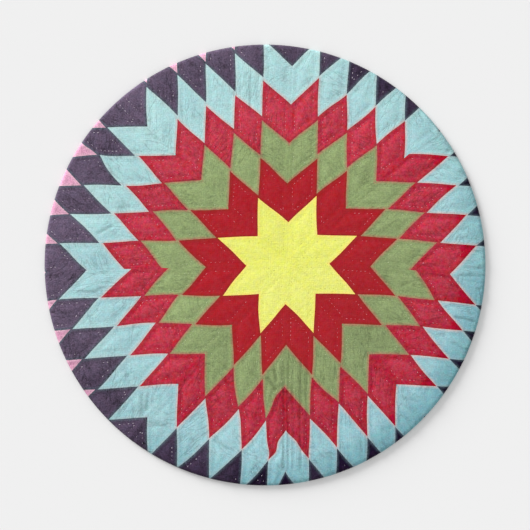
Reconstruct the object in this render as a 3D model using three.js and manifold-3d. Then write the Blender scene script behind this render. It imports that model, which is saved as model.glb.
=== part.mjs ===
// Round patchwork quilt that lies flat on its backing.
//
// The top is an eight-pointed star pieced from 45-degree diamonds. Each diamond is
// outline-quilted through a thin batting, a quarter inch inside its seams, so the
// cloth is drawn down along the quilting and stands up at the seams and the middle.
// The rim is a knife edge, with the top turned in to meet the backing.
//
// Millimetres, +Z up, origin on the surface under the middle of the quilt.

import * as THREE from "three";
import { mergeVertices } from "three/addons/utils/BufferGeometryUtils.js";
import Module from "manifold-3d";

const INCH = 25.4;

// The round and its pieced star
const QUILT_DIAMETER = 590;
const STRIP_WIDTH = 1.5 * INCH; // finished strips that the diamonds are cut from
const QUILTING_INSET = 0.25 * INCH; // quilting line, in from the seam
const STAR_POINTS = 8;
const POINT_ROWS = 7; // diamonds along each edge of a star point
const STAR_CENTRE = { x: 29.4, y: 2.6 }; // the star sits off the round's middle

// One diamond from its seam to its middle: how far in from the seam, and how high
// the cloth stands there above the surface that the quilt lies on
const DIAMOND_RELIEF = [
  { line: "seam", inset: 0, height: 5.4 },
  { line: "quilting", inset: QUILTING_INSET, height: 3.9 },
  { line: "shoulder", inset: 10.5, height: 6.0 },
  { line: "crown", inset: 15, height: 6.8 },
];

// Knife edge: a rounded roll from the top down to a blunt fold just off the surface
const EDGE_ROLL_WIDTH = 13;
const EDGE_ROLL_HEIGHT = 6.2;
const EDGE_FOLD_HEIGHT = 1.6;
const EDGE_UNDERCUT = 4; // the backing lifts off the surface this far in
const EDGE_STEPS = 4;
const ROUND_SEGMENTS = 120;

// How the hand-pieced star lies. The joins between its points are numbered round from
// +X. Each is turned off its even place and bends a little more with each row, both in
// degrees, and its rows are longer or shorter than the diamonds were drawn.
const JOINS = [
  { turn: 0, bend: -0.95, stretch: 1.015 },
  { turn: -1.0, bend: -0.55, stretch: 1.005 },
  { turn: -1.0, bend: 0, stretch: 0.985 },
  { turn: 1.8, bend: -0.25, stretch: 0.978 },
  { turn: 2.3, bend: 0, stretch: 1.0 },
  { turn: 2.5, bend: 0.05, stretch: 1.035 },
  { turn: -0.8, bend: 0, stretch: 1.045 },
  { turn: -1.6, bend: -0.3, stretch: 1.022 },
];
// The lower middle is drawn in from both sides, most at this reach to either side
const GATHER = { left: 16, right: 7, reach: 65, from: 60, over: 150 };
// Spots where sewing and gathers have drawn the seams aside: where each is strongest, how
// far the cloth has moved there, and how far away that has mostly died out
const PULLS = [
  { x: 15.9, y: -177.6, right: -3.4, up: 2.4, reach: 15 },
  { x: 16, y: -234, right: -3, up: 0.6, reach: 10 },
  { x: 12, y: -254, right: 3.4, up: 0, reach: 9.5 },
  { x: 44, y: -236, right: 1.8, up: 1, reach: 10 },
  { x: -167, y: -84, right: 9.3, up: 6.5, reach: 66 },
  { x: -53, y: -147, right: -5, up: 1.5, reach: 50 },
  { x: 104, y: -200, right: 2.5, up: 7.5, reach: 48 },
  { x: 240, y: -105, right: -6.2, up: -1.8, reach: 55 },
  { x: 215, y: 70, right: -2.4, up: -3, reach: 52 },
  { x: 182, y: 205, right: -5.5, up: -8, reach: 50 },
  { x: 100, y: 205, right: 0, up: -4, reach: 42 },
  { x: -45, y: 242, right: 5.3, up: -4, reach: 60 },
  { x: -100, y: 180, right: 1.5, up: -4.5, reach: 34 },
  { x: -205, y: 75, right: 4.8, up: 0.5, reach: 58 },
  { x: -107, y: 13, right: -2.5, up: -4.2, reach: 34 },
  { x: -40, y: 50, right: -2.4, up: 0, reach: 38 },
  { x: 100, y: -5, right: 2.5, up: 0, reach: 48 },
  { x: -165, y: -140, right: 4.8, up: 2.6, reach: 42 },
  { x: -59, y: -47, right: 4.8, up: -0.5, reach: 27 },
  { x: -161, y: 132, right: 3.8, up: -2.7, reach: 36 },
  { x: -117, y: 235, right: 3.4, up: 0, reach: 30 },
  { x: 20, y: -117, right: -0.3, up: 3, reach: 44 },
  { x: -25, y: -262, right: 0.8, up: 3.2, reach: 55 },
  { x: 190, y: -22, right: 1.8, up: -2.4, reach: 30 },
  { x: -240, y: -60, right: 1.6, up: 2.4, reach: 45 },
  { x: -235, y: 29, right: 3, up: -1, reach: 24 },
  { x: 80, y: 165, right: -2.2, up: -1.2, reach: 32 },
  { x: -231, y: 147, right: 5.5, up: 2, reach: 17 },
  { x: -200, y: -176, right: 4.6, up: 0.5, reach: 28 },
  { x: -120, y: 192, right: 1.2, up: -3.6, reach: 38 },
  { x: 59, y: -264, right: -1.2, up: 3.2, reach: 26 },
  { x: 42, y: 264, right: 2.6, up: -2.4, reach: 30 },
  { x: 117, y: 238, right: -1.2, up: -3.4, reach: 24 },
];
// Seams wander off their lines: how far, over what length, and the angle it starts at
const WANDER = {
  x: { far: 0.8, span: 23, start: 0.6 },
  y: { far: 0.8, span: 25, start: 1.1 },
};

const DIAMOND_SIDE = STRIP_WIDTH / Math.sin(Math.PI / 4);
const BLOCK_BELOW = 3; // the pieced block runs on below the round that trims it

const wasm = await Module();
wasm.setup();

function wave({ far, span, start }, at) {
  return far * Math.sin(at / span + start);
}

// Where a join between two star points has come to, this many rows from the middle
function joinAt(join, rows) {
  const { turn, bend, stretch } = JOINS[join % STAR_POINTS];
  const even = (join * 360) / STAR_POINTS;
  const angle = THREE.MathUtils.degToRad(even + turn + bend * rows);
  const length = DIAMOND_SIDE * stretch * rows;
  return new THREE.Vector2(length * Math.cos(angle), length * Math.sin(angle));
}

// Where a place on the cloth has come to under all the pulls
function pulled(place) {
  return PULLS.reduce(({ x, y }, pull) => {
    const away = Math.hypot(x - pull.x, y - pull.y) / pull.reach;
    const share = Math.exp(-away * away);
    return { x: x + share * pull.right, y: y + share * pull.up };
  }, place);
}

// Where a point of the star lies once it is gathered and pulled and its seams wander
function laidOut({ x, y }) {
  const gathered = THREE.MathUtils.clamp((-y - GATHER.from) / GATHER.over, 0, 1);
  const aside = x / GATHER.reach;
  const most = x < 0 ? GATHER.left : GATHER.right;
  const drawn = x - gathered * most * aside * Math.exp((1 - aside * aside) / 2);
  return pulled({
    x: STAR_CENTRE.x + drawn + wave(WANDER.x, y),
    y: STAR_CENTRE.y + y + wave(WANDER.y, drawn),
  });
}

// A closed mesh that is put together from corner points, each stored once
class Surface {
  positions = [];
  triangles = [];
  found = new Map();

  corner({ x, y }, z) {
    const key = [x, y, z].map((value) => Math.round(value * 1e4)).join();
    if (!this.found.has(key)) {
      this.found.set(key, this.positions.length / 3);
      this.positions.push(x, y, z);
    }
    return this.found.get(key);
  }

  quad(a, b, c, d) {
    this.triangles.push(a, b, c, a, c, d);
  }

  solid() {
    return new wasm.Manifold(
      new wasm.Mesh({
        numProp: 3,
        vertProperties: new Float32Array(this.positions),
        triVerts: new Uint32Array(this.triangles),
      }),
    );
  }
}

// The relief of one diamond: rings of corners, each inside the last, then a flat crown
function addDiamond(surface, at) {
  const rings = DIAMOND_RELIEF.map(({ inset, height }) => {
    const low = inset / STRIP_WIDTH;
    const high = 1 - low;
    return [
      [low, low],
      [high, low],
      [high, high],
      [low, high],
    ].map(([u, v]) => surface.corner(at(u, v), height));
  });
  for (let ring = 1; ring < rings.length; ring++) {
    const outer = rings[ring - 1];
    const inner = rings[ring];
    for (let side = 0; side < 4; side++) {
      const next = (side + 1) % 4;
      surface.quad(outer[side], outer[next], inner[next], inner[side]);
    }
  }
  surface.quad(...rings.at(-1));
}

// The pieced star as a thick block, with the quilted relief on its top
function piecedBlock() {
  const surface = new Surface();
  const seamHeight = DIAMOND_RELIEF[0].height;
  for (let point = 0; point < STAR_POINTS; point++) {
    const lattice = (i, j) => laidOut(joinAt(point, i).add(joinAt(point + 1, j)));
    for (let i = 0; i < POINT_ROWS; i++) {
      for (let j = 0; j < POINT_ROWS; j++) {
        addDiamond(surface, (u, v) => lattice(i + u, j + v));
        const base = [
          [i, j],
          [i, j + 1],
          [i + 1, j + 1],
          [i + 1, j],
        ].map(([a, b]) => surface.corner(lattice(a, b), -BLOCK_BELOW));
        surface.quad(...base);
      }
    }
    // The two outer walls of this star point
    const wall = (from, to) => {
      const [a, b] = [from, to].map(([i, j]) => lattice(i, j));
      surface.quad(
        surface.corner(a, -BLOCK_BELOW),
        surface.corner(b, -BLOCK_BELOW),
        surface.corner(b, seamHeight),
        surface.corner(a, seamHeight),
      );
    };
    for (let step = 0; step < POINT_ROWS; step++) {
      wall([POINT_ROWS, step], [POINT_ROWS, step + 1]);
      wall([step + 1, POINT_ROWS], [step, POINT_ROWS]);
    }
  }
  return surface.solid();
}

// The round that trims the block: flat below, with the knife edge's roll at its rim
function trimmingRound() {
  const radius = QUILT_DIAMETER / 2;
  const profile = [new THREE.Vector2(0, 0), new THREE.Vector2(radius - EDGE_UNDERCUT, 0)];
  for (let step = 0; step <= EDGE_STEPS; step++) {
    const turn = ((Math.PI / 2) * step) / EDGE_STEPS;
    profile.push(
      new THREE.Vector2(
        radius - EDGE_ROLL_WIDTH * (1 - Math.cos(turn)),
        EDGE_FOLD_HEIGHT + EDGE_ROLL_HEIGHT * Math.sin(turn),
      ),
    );
  }
  profile.push(new THREE.Vector2(0, EDGE_FOLD_HEIGHT + EDGE_ROLL_HEIGHT));
  const turned = new THREE.LatheGeometry(profile, ROUND_SEGMENTS).rotateX(Math.PI / 2);
  turned.deleteAttribute("normal");
  turned.deleteAttribute("uv");
  const merged = mergeVertices(turned, 1e-3);
  return new wasm.Manifold(
    new wasm.Mesh({
      numProp: 3,
      vertProperties: merged.attributes.position.array,
      triVerts: new Uint32Array(merged.index.array),
    }),
  );
}

function geometryOf(solid) {
  const { vertProperties, triVerts } = solid.getMesh();
  return new THREE.BufferGeometry()
    .setAttribute("position", new THREE.BufferAttribute(vertProperties, 3))
    .setIndex(new THREE.BufferAttribute(triVerts, 1));
}

const quilt = new THREE.Mesh(
  geometryOf(piecedBlock().intersect(trimmingRound())),
  new THREE.MeshStandardMaterial({ color: 0xb8323f, roughness: 0.9, metalness: 0 }),
);
quilt.name = "quilt";

const group = new THREE.Group();
group.add(quilt);

export default group;
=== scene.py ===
"""Dresses a round patchwork quilt: its pieced cotton top, its quilting and its studio.

The top is an eight-pointed star of 45-degree diamonds, outline-quilted a quarter inch
inside every seam. Lengths in the classes are millimetres, meshes are metres.
"""

from __future__ import annotations

import bisect
import itertools
import logging
import math
from collections.abc import Iterable
from dataclasses import dataclass, field
from enum import Enum
from functools import cached_property
from typing import Any, NamedTuple

import bpy
import numpy as np
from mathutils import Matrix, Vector, noise

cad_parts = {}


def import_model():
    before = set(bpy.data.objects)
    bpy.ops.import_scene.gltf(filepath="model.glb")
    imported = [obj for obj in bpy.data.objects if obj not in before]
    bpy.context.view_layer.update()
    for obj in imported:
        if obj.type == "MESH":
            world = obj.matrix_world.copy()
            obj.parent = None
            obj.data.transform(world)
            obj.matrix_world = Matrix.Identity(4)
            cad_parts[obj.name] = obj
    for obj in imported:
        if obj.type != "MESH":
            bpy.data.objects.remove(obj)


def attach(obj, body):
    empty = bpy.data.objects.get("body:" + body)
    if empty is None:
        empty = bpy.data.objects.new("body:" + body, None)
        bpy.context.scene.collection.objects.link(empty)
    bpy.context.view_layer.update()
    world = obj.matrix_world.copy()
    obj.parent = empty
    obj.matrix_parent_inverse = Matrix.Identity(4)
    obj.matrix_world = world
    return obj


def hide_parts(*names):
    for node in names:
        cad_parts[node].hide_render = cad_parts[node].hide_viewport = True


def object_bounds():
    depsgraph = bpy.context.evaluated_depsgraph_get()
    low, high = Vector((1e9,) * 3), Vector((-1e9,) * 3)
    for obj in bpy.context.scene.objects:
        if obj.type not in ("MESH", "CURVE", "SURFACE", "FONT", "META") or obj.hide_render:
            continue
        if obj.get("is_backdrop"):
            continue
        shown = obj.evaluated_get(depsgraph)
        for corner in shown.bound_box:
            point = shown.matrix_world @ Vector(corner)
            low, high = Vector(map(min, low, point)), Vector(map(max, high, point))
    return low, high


Tree = bpy.types.NodeTree
Socket = bpy.types.NodeSocket

LOG = logging.getLogger("patchwork_quilt")
MM = 0.001
INCH = 25.4
STRIP_WIDTH = 1.5 * INCH
QUILTING_INSET = 0.25 * INCH

# The sRGB curve: a straight foot, then a power
SRGB_FOOT = 0.04045
SRGB_SLOPE = 12.92
SRGB_OFFSET = 0.055
SRGB_POWER = 2.4

# On a patch's own maps its sides are at 0 and 1
PATCH_MIDDLE = 0.5

# Where most values of a noise texture lie, and their middle
NOISE_RANGE = (0.3, 0.7)
NOISE_MIDDLE = 0.5

# How many radians a wave texture turns through over one unit
WAVE_RATE = 20.0


class Fabric(Enum):
    """The cottons of the quilt, in the order of the star's rounds, then the backing."""

    YELLOW = 0
    DEEP_RED = 1
    SAGE = 2
    ROSE = 3
    AQUA = 4
    NAVY = 5
    PINK = 6
    MUSLIN = 7


class Side(Enum):
    """Which side of a join between two star points, going round from +X."""

    BEFORE = 0
    AFTER = 1


class Face(Enum):
    """Which face of the quilt a stitch lies on: the sign of its outward direction."""

    FRONT = 1
    BACK = -1


# Shared helpers


def linear(colour: str) -> tuple[float, float, float, float]:
    """Turns an sRGB colour into the linear one that shaders take.

    Args:
        colour: Six hex digits after a hash.

    Returns:
        Linear red, green and blue, and an alpha of 1.
    """
    shares = [int(colour[at : at + 2], 16) / 255 for at in (1, 3, 5)]
    curved = [((share + SRGB_OFFSET) / (1 + SRGB_OFFSET)) ** SRGB_POWER for share in shares]
    mixed = [share / SRGB_SLOPE if share <= SRGB_FOOT else high for share, high in zip(shares, curved)]
    return (*mixed, 1.0)


def add_node(tree: Tree, kind: str, inputs: dict | None = None, **settings: Any) -> bpy.types.Node:
    """Adds a node to a tree with its settings, its values and its links.

    Args:
        tree: The tree that takes the node.
        kind: Blender's name for the type of node.
        inputs: Socket name or number to a value, to the output that it links to, or to
            a node whose first output it links to.
        **settings: Properties of the node.

    Returns:
        The new node.
    """
    node = tree.nodes.new(kind)
    for name, value in settings.items():
        setattr(node, name, value)
    for socket, value in (inputs or {}).items():
        source = value.outputs[0] if isinstance(value, bpy.types.Node) else value
        if isinstance(source, Socket):
            tree.links.new(source, node.inputs[socket])
        else:
            node.inputs[socket].default_value = source
    return node


def new_material(name: str) -> tuple[bpy.types.Material, Tree]:
    """Starts a procedural material.

    Args:
        name: The material's name.

    Returns:
        The material, and its tree without any nodes.
    """
    made = bpy.data.materials.new(name)
    made.use_nodes = True
    made.node_tree.nodes.clear()
    return made, made.node_tree


def smooth_step(low: float, high: float, value: np.ndarray) -> np.ndarray:
    """Rises smoothly from 0 at low to 1 at high."""
    share = np.clip((value - low) / (high - low), 0, 1)
    return share * share * (3 - 2 * share)


def add_object(name: str, data: bpy.types.ID) -> bpy.types.Object:
    """Links a new object into the scene, at the origin.

    Args:
        name: The object's name.
        data: Its mesh, light or camera.

    Returns:
        The object.
    """
    made = bpy.data.objects.new(name, data)
    bpy.context.scene.collection.objects.link(made)
    return made


# Finishes


@dataclass(frozen=True)
class CottonFinish:
    """Plain-weave dyed cotton, washed: matt, a little fuzzy and uneven.

    It gives the eye a mottled dye, slubs along both threads of the weave, painted light
    and shade that make it paler on one side of the quilt and darker on the other, painted
    shade in creases and towards the rim, and rubbed or shaded edges beside the seams.

    Attributes:
        name: The material's name.
        lit_colour: Colour where painted light makes the cloth palest.
        shaded_colour: Colour where painted shade makes the cloth darkest.
        worn: Colour that the raised middle of a patch is rubbed towards.
        edge: Colour of the thin line where the cloth turns under at a seam.
        wear: How far the middle goes to the worn colour, 0 to 1.
        edging: How far the seams to the round inside go to the edge colour, 0 to 1.
        outer_edging: How far the seams to the round outside go to it.
        mottle: Share by which the dye is lighter or darker from spot to spot.
        slub: Share by which thick and thin threads are lighter or darker.
        wrinkle: Share by which fine wrinkles are darker.
        thread: Colour that the quilting thread has taken up from this cotton.
        hue_drift: How far the hue drifts from spot to spot, in turns.
        strength_drift: Share by which the dye is stronger or weaker from spot to spot.
        shades_towards: The way in which painted shade darkens the colour over the quilt, in degrees from +X.
        shade_span: Where along that way the painted light is strongest and the painted shade deepest, from
            the quilt's middle.
    """

    name: str
    lit_colour: str
    shaded_colour: str
    worn: str
    edge: str
    wear: float = 0.3
    edging: float = 0.9
    outer_edging: float = 0.9
    mottle: float = 0.1
    slub: float = 0.06
    # wrinkle: Share by which fine wrinkles are darker, as painted shade in their troughs.
    wrinkle: float = 0.1
    thread: str = "#DED0C4"
    hue_drift: float = 0.006
    strength_drift: float = 0.04
    shades_towards: float = -53.0
    shade_span: tuple[float, float] = (-270.0, 270.0)

    # How matt and how fuzzy the cloth is
    ROUGHNESS = 0.92
    SPECULAR = 0.12
    FUZZ = 0.04
    FUZZ_ROUGHNESS = 0.5
    # Width of the line along a seam, how fast it fades, and where rubbing starts and is full
    EDGE_WIDTH = 5.2
    EDGE_FALL = 2.0
    WEAR_FROM = 2.5
    WEAR_TO = 11.0
    # Width of the spots where the painted light and shade, the dye, the wear and the seam lines differ
    PAINTED_LIGHT_SPOT = 90.0
    WEAR_SPOT = 16.0
    BLOTCH = 10.0
    HUE_SPOT = 7.0
    EDGE_SPOT = 6.0
    STRENGTH_SPOT = 5.0
    FLECK = 1.8
    # Least and most of the wear and of the seam lines that shows from spot to spot
    UNEVEN = (0.6, 1.4)
    # A thread is 0.35 mm, far too fine to show: slubs and weave are drawn coarse
    SLUB_WIDTH = 3.0
    SLUB_LENGTH = 30.0
    SLUB_BEND = 0.5
    SLUB_RANGE = (0.65, 1.35)
    WEAVE_PITCH = 2.7
    # Wrinkles and pleats: their sizes, their turn by patch in radians, and where they come in
    WRINKLE_LENGTH = 26.0
    WRINKLE_GAP = 7.0
    WRINKLE_TURN = 0.9
    WRINKLED_AREA = 24.0
    WRINKLED_RANGE = (-0.4, 0.4)
    PLEAT_LENGTH = 80.0
    PLEAT_GAP = 5.0
    FOLD_WIDTH = 0.07
    FOLD_BEND = 0.6
    # Shares by which the colour differs; the crease, pleat and rim shares are painted shade, and the drift
    # moves the painted light and shade
    BLOTCH_SHARE = 0.4
    FLECK_SHARE = 1.5
    TONE_SPREAD = 0.22
    CREASE_SHADE = 0.27
    PLEAT_SHADE = 0.16
    RIM_SHADE = 0.22
    RIM_SHADE_STRENGTH = 0.25
    PAINTED_LIGHT_DRIFT = 0.22
    EVEN_HUE = 0.5
    EVEN_STRENGTH = 1.0
    # Depth of the bump, and the shares of it that rise and sink
    BUMP_DEPTH = 0.25
    BUMP_STRENGTH = 0.5
    WEAVE_RISE = 0.4
    FLECK_RISE = 0.45
    SLUB_RISE = 0.2
    WRINKLE_SINK = 6.0
    PLEAT_SINK = 1.0

    def material(self) -> bpy.types.Material:
        """Builds the cotton's procedural material.

        Returns:
            The material, with its colour and bump from nodes.
        """
        made, tree = new_material(self.name)
        place = add_node(tree, "ShaderNodeTexCoord").outputs["Object"]
        threads = self._threads(tree)
        fleck = self._noise(tree, place, self.FLECK, detail=2.0)
        folds = self._folds(tree, place)
        colour = self._painted_light_and_wear(tree, place)
        colour = self._edged(tree, colour, place)
        colour = self._varied(tree, colour, place, threads, fleck, folds)
        shader = add_node(
            tree,
            "ShaderNodeBsdfPrincipled",
            {
                "Base Color": colour,
                "Roughness": self.ROUGHNESS,
                "Specular IOR Level": self.SPECULAR,
                "Sheen Weight": self.FUZZ,
                "Sheen Roughness": self.FUZZ_ROUGHNESS,
                "Normal": self._bump(tree, threads, fleck, folds),
            },
        )
        add_node(tree, "ShaderNodeOutputMaterial", {"Surface": shader})
        return made

    @staticmethod
    def _noise(tree: Tree, at: Socket, size: float, detail: float) -> Socket:
        """Gives an even noise.

        Args:
            tree: The tree that takes the nodes.
            at: The place, in metres.
            size: Width of its spots.
            detail: How many finer noises are laid over it.

        Returns:
            The noise, from -1 to 1.
        """
        look = {"Vector": at, "Scale": 1 / (size * MM), "Detail": detail}
        spots = add_node(tree, "ShaderNodeTexNoise", look)
        low, high = NOISE_RANGE
        return add_node(tree, "ShaderNodeMapRange", {0: spots, 1: low, 2: high, 3: -1.0, 4: 1.0}).outputs[0]

    def _uneven(self, tree: Tree, place: Socket, size: float, detail: float) -> Socket:
        """Gives how much of a mark shows from spot to spot, around 1.

        Args:
            tree: The tree that takes the nodes.
            place: The place, in metres.
            size: Width of the spots.
            detail: How many finer noises are laid over them.

        Returns:
            The share that shows.
        """
        least, most = self.UNEVEN
        spots = {0: self._noise(tree, place, size, detail), 1: -1.0, 2: 1.0, 3: least, 4: most}
        return add_node(tree, "ShaderNodeMapRange", spots).outputs[0]

    @staticmethod
    def _summed(tree: Tree, start: float, shares: Iterable[tuple[Socket, float]]) -> Socket | float:
        """Adds shares of several sources to a starting value.

        Args:
            tree: The tree that takes the nodes.
            start: The starting value.
            shares: Each source, and the share of it that is added.

        Returns:
            The sum.
        """
        total: Socket | float = start
        for source, share in shares:
            added = {0: source, 1: share, 2: total}
            total = add_node(tree, "ShaderNodeMath", added, operation="MULTIPLY_ADD").outputs[0]
        return total

    @staticmethod
    def _inset(tree: Tree) -> Socket:
        """Gives how far a spot lies inside the nearest seam of its patch.

        Args:
            tree: The tree that takes the nodes.

        Returns:
            The distance, in millimetres.
        """
        patch = add_node(tree, "ShaderNodeUVMap", uv_map="patch")
        middle = (PATCH_MIDDLE, PATCH_MIDDLE, 0.0)
        off = add_node(tree, "ShaderNodeVectorMath", {0: patch, 1: middle}, operation="SUBTRACT")
        away = add_node(tree, "ShaderNodeVectorMath", {0: off}, operation="ABSOLUTE")
        parts = add_node(tree, "ShaderNodeSeparateXYZ", {0: away}).outputs
        most = add_node(tree, "ShaderNodeMath", {0: parts[0], 1: parts[1]}, operation="MAXIMUM")
        spread = {0: most, 1: 0.0, 2: PATCH_MIDDLE, 3: STRIP_WIDTH / 2, 4: 0.0}
        return add_node(tree, "ShaderNodeMapRange", spread).outputs[0]

    def _threads(self, tree: Tree) -> Socket:
        """Gives the slubs of both threads of the weave.

        Args:
            tree: The tree that takes the nodes.

        Returns:
            The slubs, from about -1 to 1.
        """
        grain = add_node(tree, "ShaderNodeUVMap", uv_map="weave")
        both = []
        for along, across in ((self.SLUB_LENGTH, self.SLUB_WIDTH), (self.SLUB_WIDTH, self.SLUB_LENGTH)):
            scale = (1 / along, 1 / across, 1.0)
            drawn = add_node(tree, "ShaderNodeMapping", {"Vector": grain, "Scale": scale})
            look = {"Vector": drawn, "Scale": 1.0, "Detail": 2.0, "Distortion": self.SLUB_BEND}
            both.append(add_node(tree, "ShaderNodeTexNoise", look))
        total = add_node(tree, "ShaderNodeMath", {0: both[0], 1: both[1]}, operation="ADD")
        low, high = self.SLUB_RANGE
        return add_node(tree, "ShaderNodeMapRange", {0: total, 1: low, 2: high, 3: -1.0, 4: 1.0}).outputs[0]

    def _painted_light_and_wear(self, tree: Tree, place: Socket) -> Socket:
        """Mixes the colour from painted light to painted shade over the quilt, and rubs the patch's middle.

        Args:
            tree: The tree that takes the nodes.
            place: The place, in metres.

        Returns:
            The colour.
        """
        # Painted light and shade: the colour is paler on one side of the quilt and darker on the other
        turn = math.radians(self.shades_towards)
        way = (math.cos(turn), math.sin(turn), 0.0)
        away = add_node(tree, "ShaderNodeVectorMath", {0: place, 1: way}, operation="DOT_PRODUCT")
        most_lit, most_shaded = self.shade_span
        span = {0: away.outputs["Value"], 1: most_lit * MM, 2: most_shaded * MM}
        kept = add_node(tree, "ShaderNodeMapRange", span)
        drift = {0: self._noise(tree, place, self.PAINTED_LIGHT_SPOT, detail=1.0), 1: self.PAINTED_LIGHT_DRIFT, 2: kept}
        drifted = add_node(tree, "ShaderNodeMath", drift, operation="MULTIPLY_ADD", use_clamp=True)
        mixed = {0: drifted, 6: linear(self.lit_colour), 7: linear(self.shaded_colour)}
        dyed = add_node(tree, "ShaderNodeMix", mixed, data_type="RGBA").outputs[2]
        rise = {0: self._inset(tree), 1: self.WEAR_FROM, 2: self.WEAR_TO, 3: 0.0, 4: self.wear}
        middle = add_node(tree, "ShaderNodeMapRange", rise, interpolation_type="SMOOTHSTEP")
        patchy = self._uneven(tree, place, self.WEAR_SPOT, detail=3.0)
        rubbing = {0: middle, 1: patchy}
        rubbed = add_node(tree, "ShaderNodeMath", rubbing, operation="MULTIPLY", use_clamp=True)
        mixed = {0: rubbed, 6: dyed, 7: linear(self.worn)}
        return add_node(tree, "ShaderNodeMix", mixed, data_type="RGBA").outputs[2]

    def _lines(self, tree: Tree, at: Socket, scale: tuple[float, float, float]) -> Socket:
        """Gives thin winding lines.

        Args:
            tree: The tree that takes the nodes.
            at: The place that they follow.
            scale: How far they are drawn out along each axis.

        Returns:
            The lines, 1 on a line and 0 beside it.
        """
        drawn = add_node(tree, "ShaderNodeMapping", {"Vector": at, "Scale": scale})
        look = {"Vector": drawn, "Scale": 1.0, "Detail": 1.0, "Distortion": self.FOLD_BEND}
        spots = add_node(tree, "ShaderNodeTexNoise", look)
        off = add_node(tree, "ShaderNodeMath", {0: spots, 1: NOISE_MIDDLE}, operation="SUBTRACT")
        away = add_node(tree, "ShaderNodeMath", {0: off}, operation="ABSOLUTE")
        near = {0: away, 1: 0.0, 2: self.FOLD_WIDTH, 3: 1.0, 4: 0.0}
        return add_node(tree, "ShaderNodeMapRange", near).outputs[0]

    def _folds(self, tree: Tree, place: Socket) -> dict[str, Socket]:
        """Gives the fine wrinkles, which run their own way in each patch, and the gathers' pleats.

        Args:
            tree: The tree that takes the nodes.
            place: The place, in metres.

        Returns:
            The wrinkles and the pleats, each from 0 to 1.
        """
        grain = add_node(tree, "ShaderNodeUVMap", uv_map="weave")
        tone = add_node(tree, "ShaderNodeAttribute", attribute_name="tone").outputs["Fac"]
        turn = add_node(tree, "ShaderNodeMath", {0: tone, 1: self.WRINKLE_TURN}, operation="MULTIPLY")
        spun = {"Vector": grain, "Angle": turn}
        turned = add_node(tree, "ShaderNodeVectorRotate", spun, rotation_type="Z_AXIS").outputs[0]
        lines = self._lines(tree, turned, (1 / self.WRINKLE_LENGTH, 1 / self.WRINKLE_GAP, 1.0))
        low, high = self.WRINKLED_RANGE
        area = {0: self._noise(tree, place, self.WRINKLED_AREA, detail=1.0), 1: low, 2: high}
        wrinkled = add_node(tree, "ShaderNodeMapRange", area)
        wrinkles = add_node(tree, "ShaderNodeMath", {0: lines, 1: wrinkled}, operation="MULTIPLY")
        gather = add_node(tree, "ShaderNodeAttribute", attribute_name="gather").outputs["Fac"]
        lines = self._lines(tree, place, (1 / (self.PLEAT_GAP * MM), 1 / (self.PLEAT_LENGTH * MM), 1.0))
        pleats = add_node(tree, "ShaderNodeMath", {0: lines, 1: gather}, operation="MULTIPLY")
        return {"wrinkles": wrinkles.outputs[0], "pleats": pleats.outputs[0]}

    def _edged(self, tree: Tree, colour: Socket, place: Socket) -> Socket:
        """Draws the uneven line along seams to another cotton, where the cloth turns under.

        Args:
            tree: The tree that takes the nodes.
            colour: The cloth's colour.
            place: The place, in metres.

        Returns:
            The colour with the line on it.
        """
        seam = add_node(tree, "ShaderNodeUVMap", uv_map="seam")
        parts = add_node(tree, "ShaderNodeSeparateXYZ", {0: seam}).outputs
        width = self.EDGE_WIDTH / STRIP_WIDTH
        lines = []
        for least, seam_at, inside_at, edging in (
            ("MINIMUM", 0.0, width, self.edging),
            ("MAXIMUM", 1.0, 1 - width, self.outer_edging),
        ):
            nearest = add_node(tree, "ShaderNodeMath", {0: parts[0], 1: parts[1]}, operation=least)
            close = add_node(tree, "ShaderNodeMapRange", {0: nearest, 1: inside_at, 2: seam_at})
            fading = add_node(tree, "ShaderNodeMath", {0: close, 1: self.EDGE_FALL}, operation="POWER")
            lines.append(add_node(tree, "ShaderNodeMath", {0: fading, 1: edging}, operation="MULTIPLY"))
        line = add_node(tree, "ShaderNodeMath", {0: lines[0], 1: lines[1]}, operation="MAXIMUM")
        uneven = self._uneven(tree, place, self.EDGE_SPOT, detail=2.0)
        drawn = add_node(tree, "ShaderNodeMath", {0: line, 1: uneven}, operation="MULTIPLY", use_clamp=True)
        mixed = {0: drawn, 6: colour, 7: linear(self.edge)}
        return add_node(tree, "ShaderNodeMix", mixed, data_type="RGBA").outputs[2]

    def _varied(
        self,
        tree: Tree,
        colour: Socket,
        place: Socket,
        threads: Socket,
        fleck: Socket,
        folds: dict[str, Socket],
    ) -> Socket:
        """Varies the colour by dye spots, threads and patch, with painted shade in folds and creases and
        towards the rim.

        Args:
            tree: The tree that takes the nodes.
            colour: The cloth's colour.
            place: The place, in metres.
            threads: The slubs.
            fleck: The finest spots.
            folds: The wrinkles and the pleats.

        Returns:
            The colour as it is seen.
        """
        tone, crease, soil = (
            add_node(tree, "ShaderNodeAttribute", attribute_name=name).outputs["Fac"]
            for name in ("tone", "crease", "soil")
        )
        shares = (
            (self._noise(tree, place, self.BLOTCH, detail=3.0), self.BLOTCH_SHARE * self.mottle),
            (fleck, self.FLECK_SHARE * self.mottle),
            (threads, self.slub),
            (tone, self.TONE_SPREAD * self.mottle),
            # Painted shade in creases, wrinkles and pleats, and towards the rim
            (crease, -self.CREASE_SHADE),
            (folds["wrinkles"], -self.wrinkle),
            (folds["pleats"], -self.PLEAT_SHADE),
            (soil, -self.RIM_SHADE),
        )
        hue = ((self._noise(tree, place, self.HUE_SPOT, detail=2.0), self.hue_drift),)
        strength = (
            (self._noise(tree, place, self.STRENGTH_SPOT, detail=2.0), self.strength_drift),
            # Painted shade near the rim also strengthens the colour
            (soil, self.RIM_SHADE_STRENGTH),
        )
        varied = {
            "Hue": self._summed(tree, self.EVEN_HUE, hue),
            "Saturation": self._summed(tree, self.EVEN_STRENGTH, strength),
            "Value": self._summed(tree, 1.0, shares),
            "Color": colour,
        }
        return add_node(tree, "ShaderNodeHueSaturation", varied).outputs[0]

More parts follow.
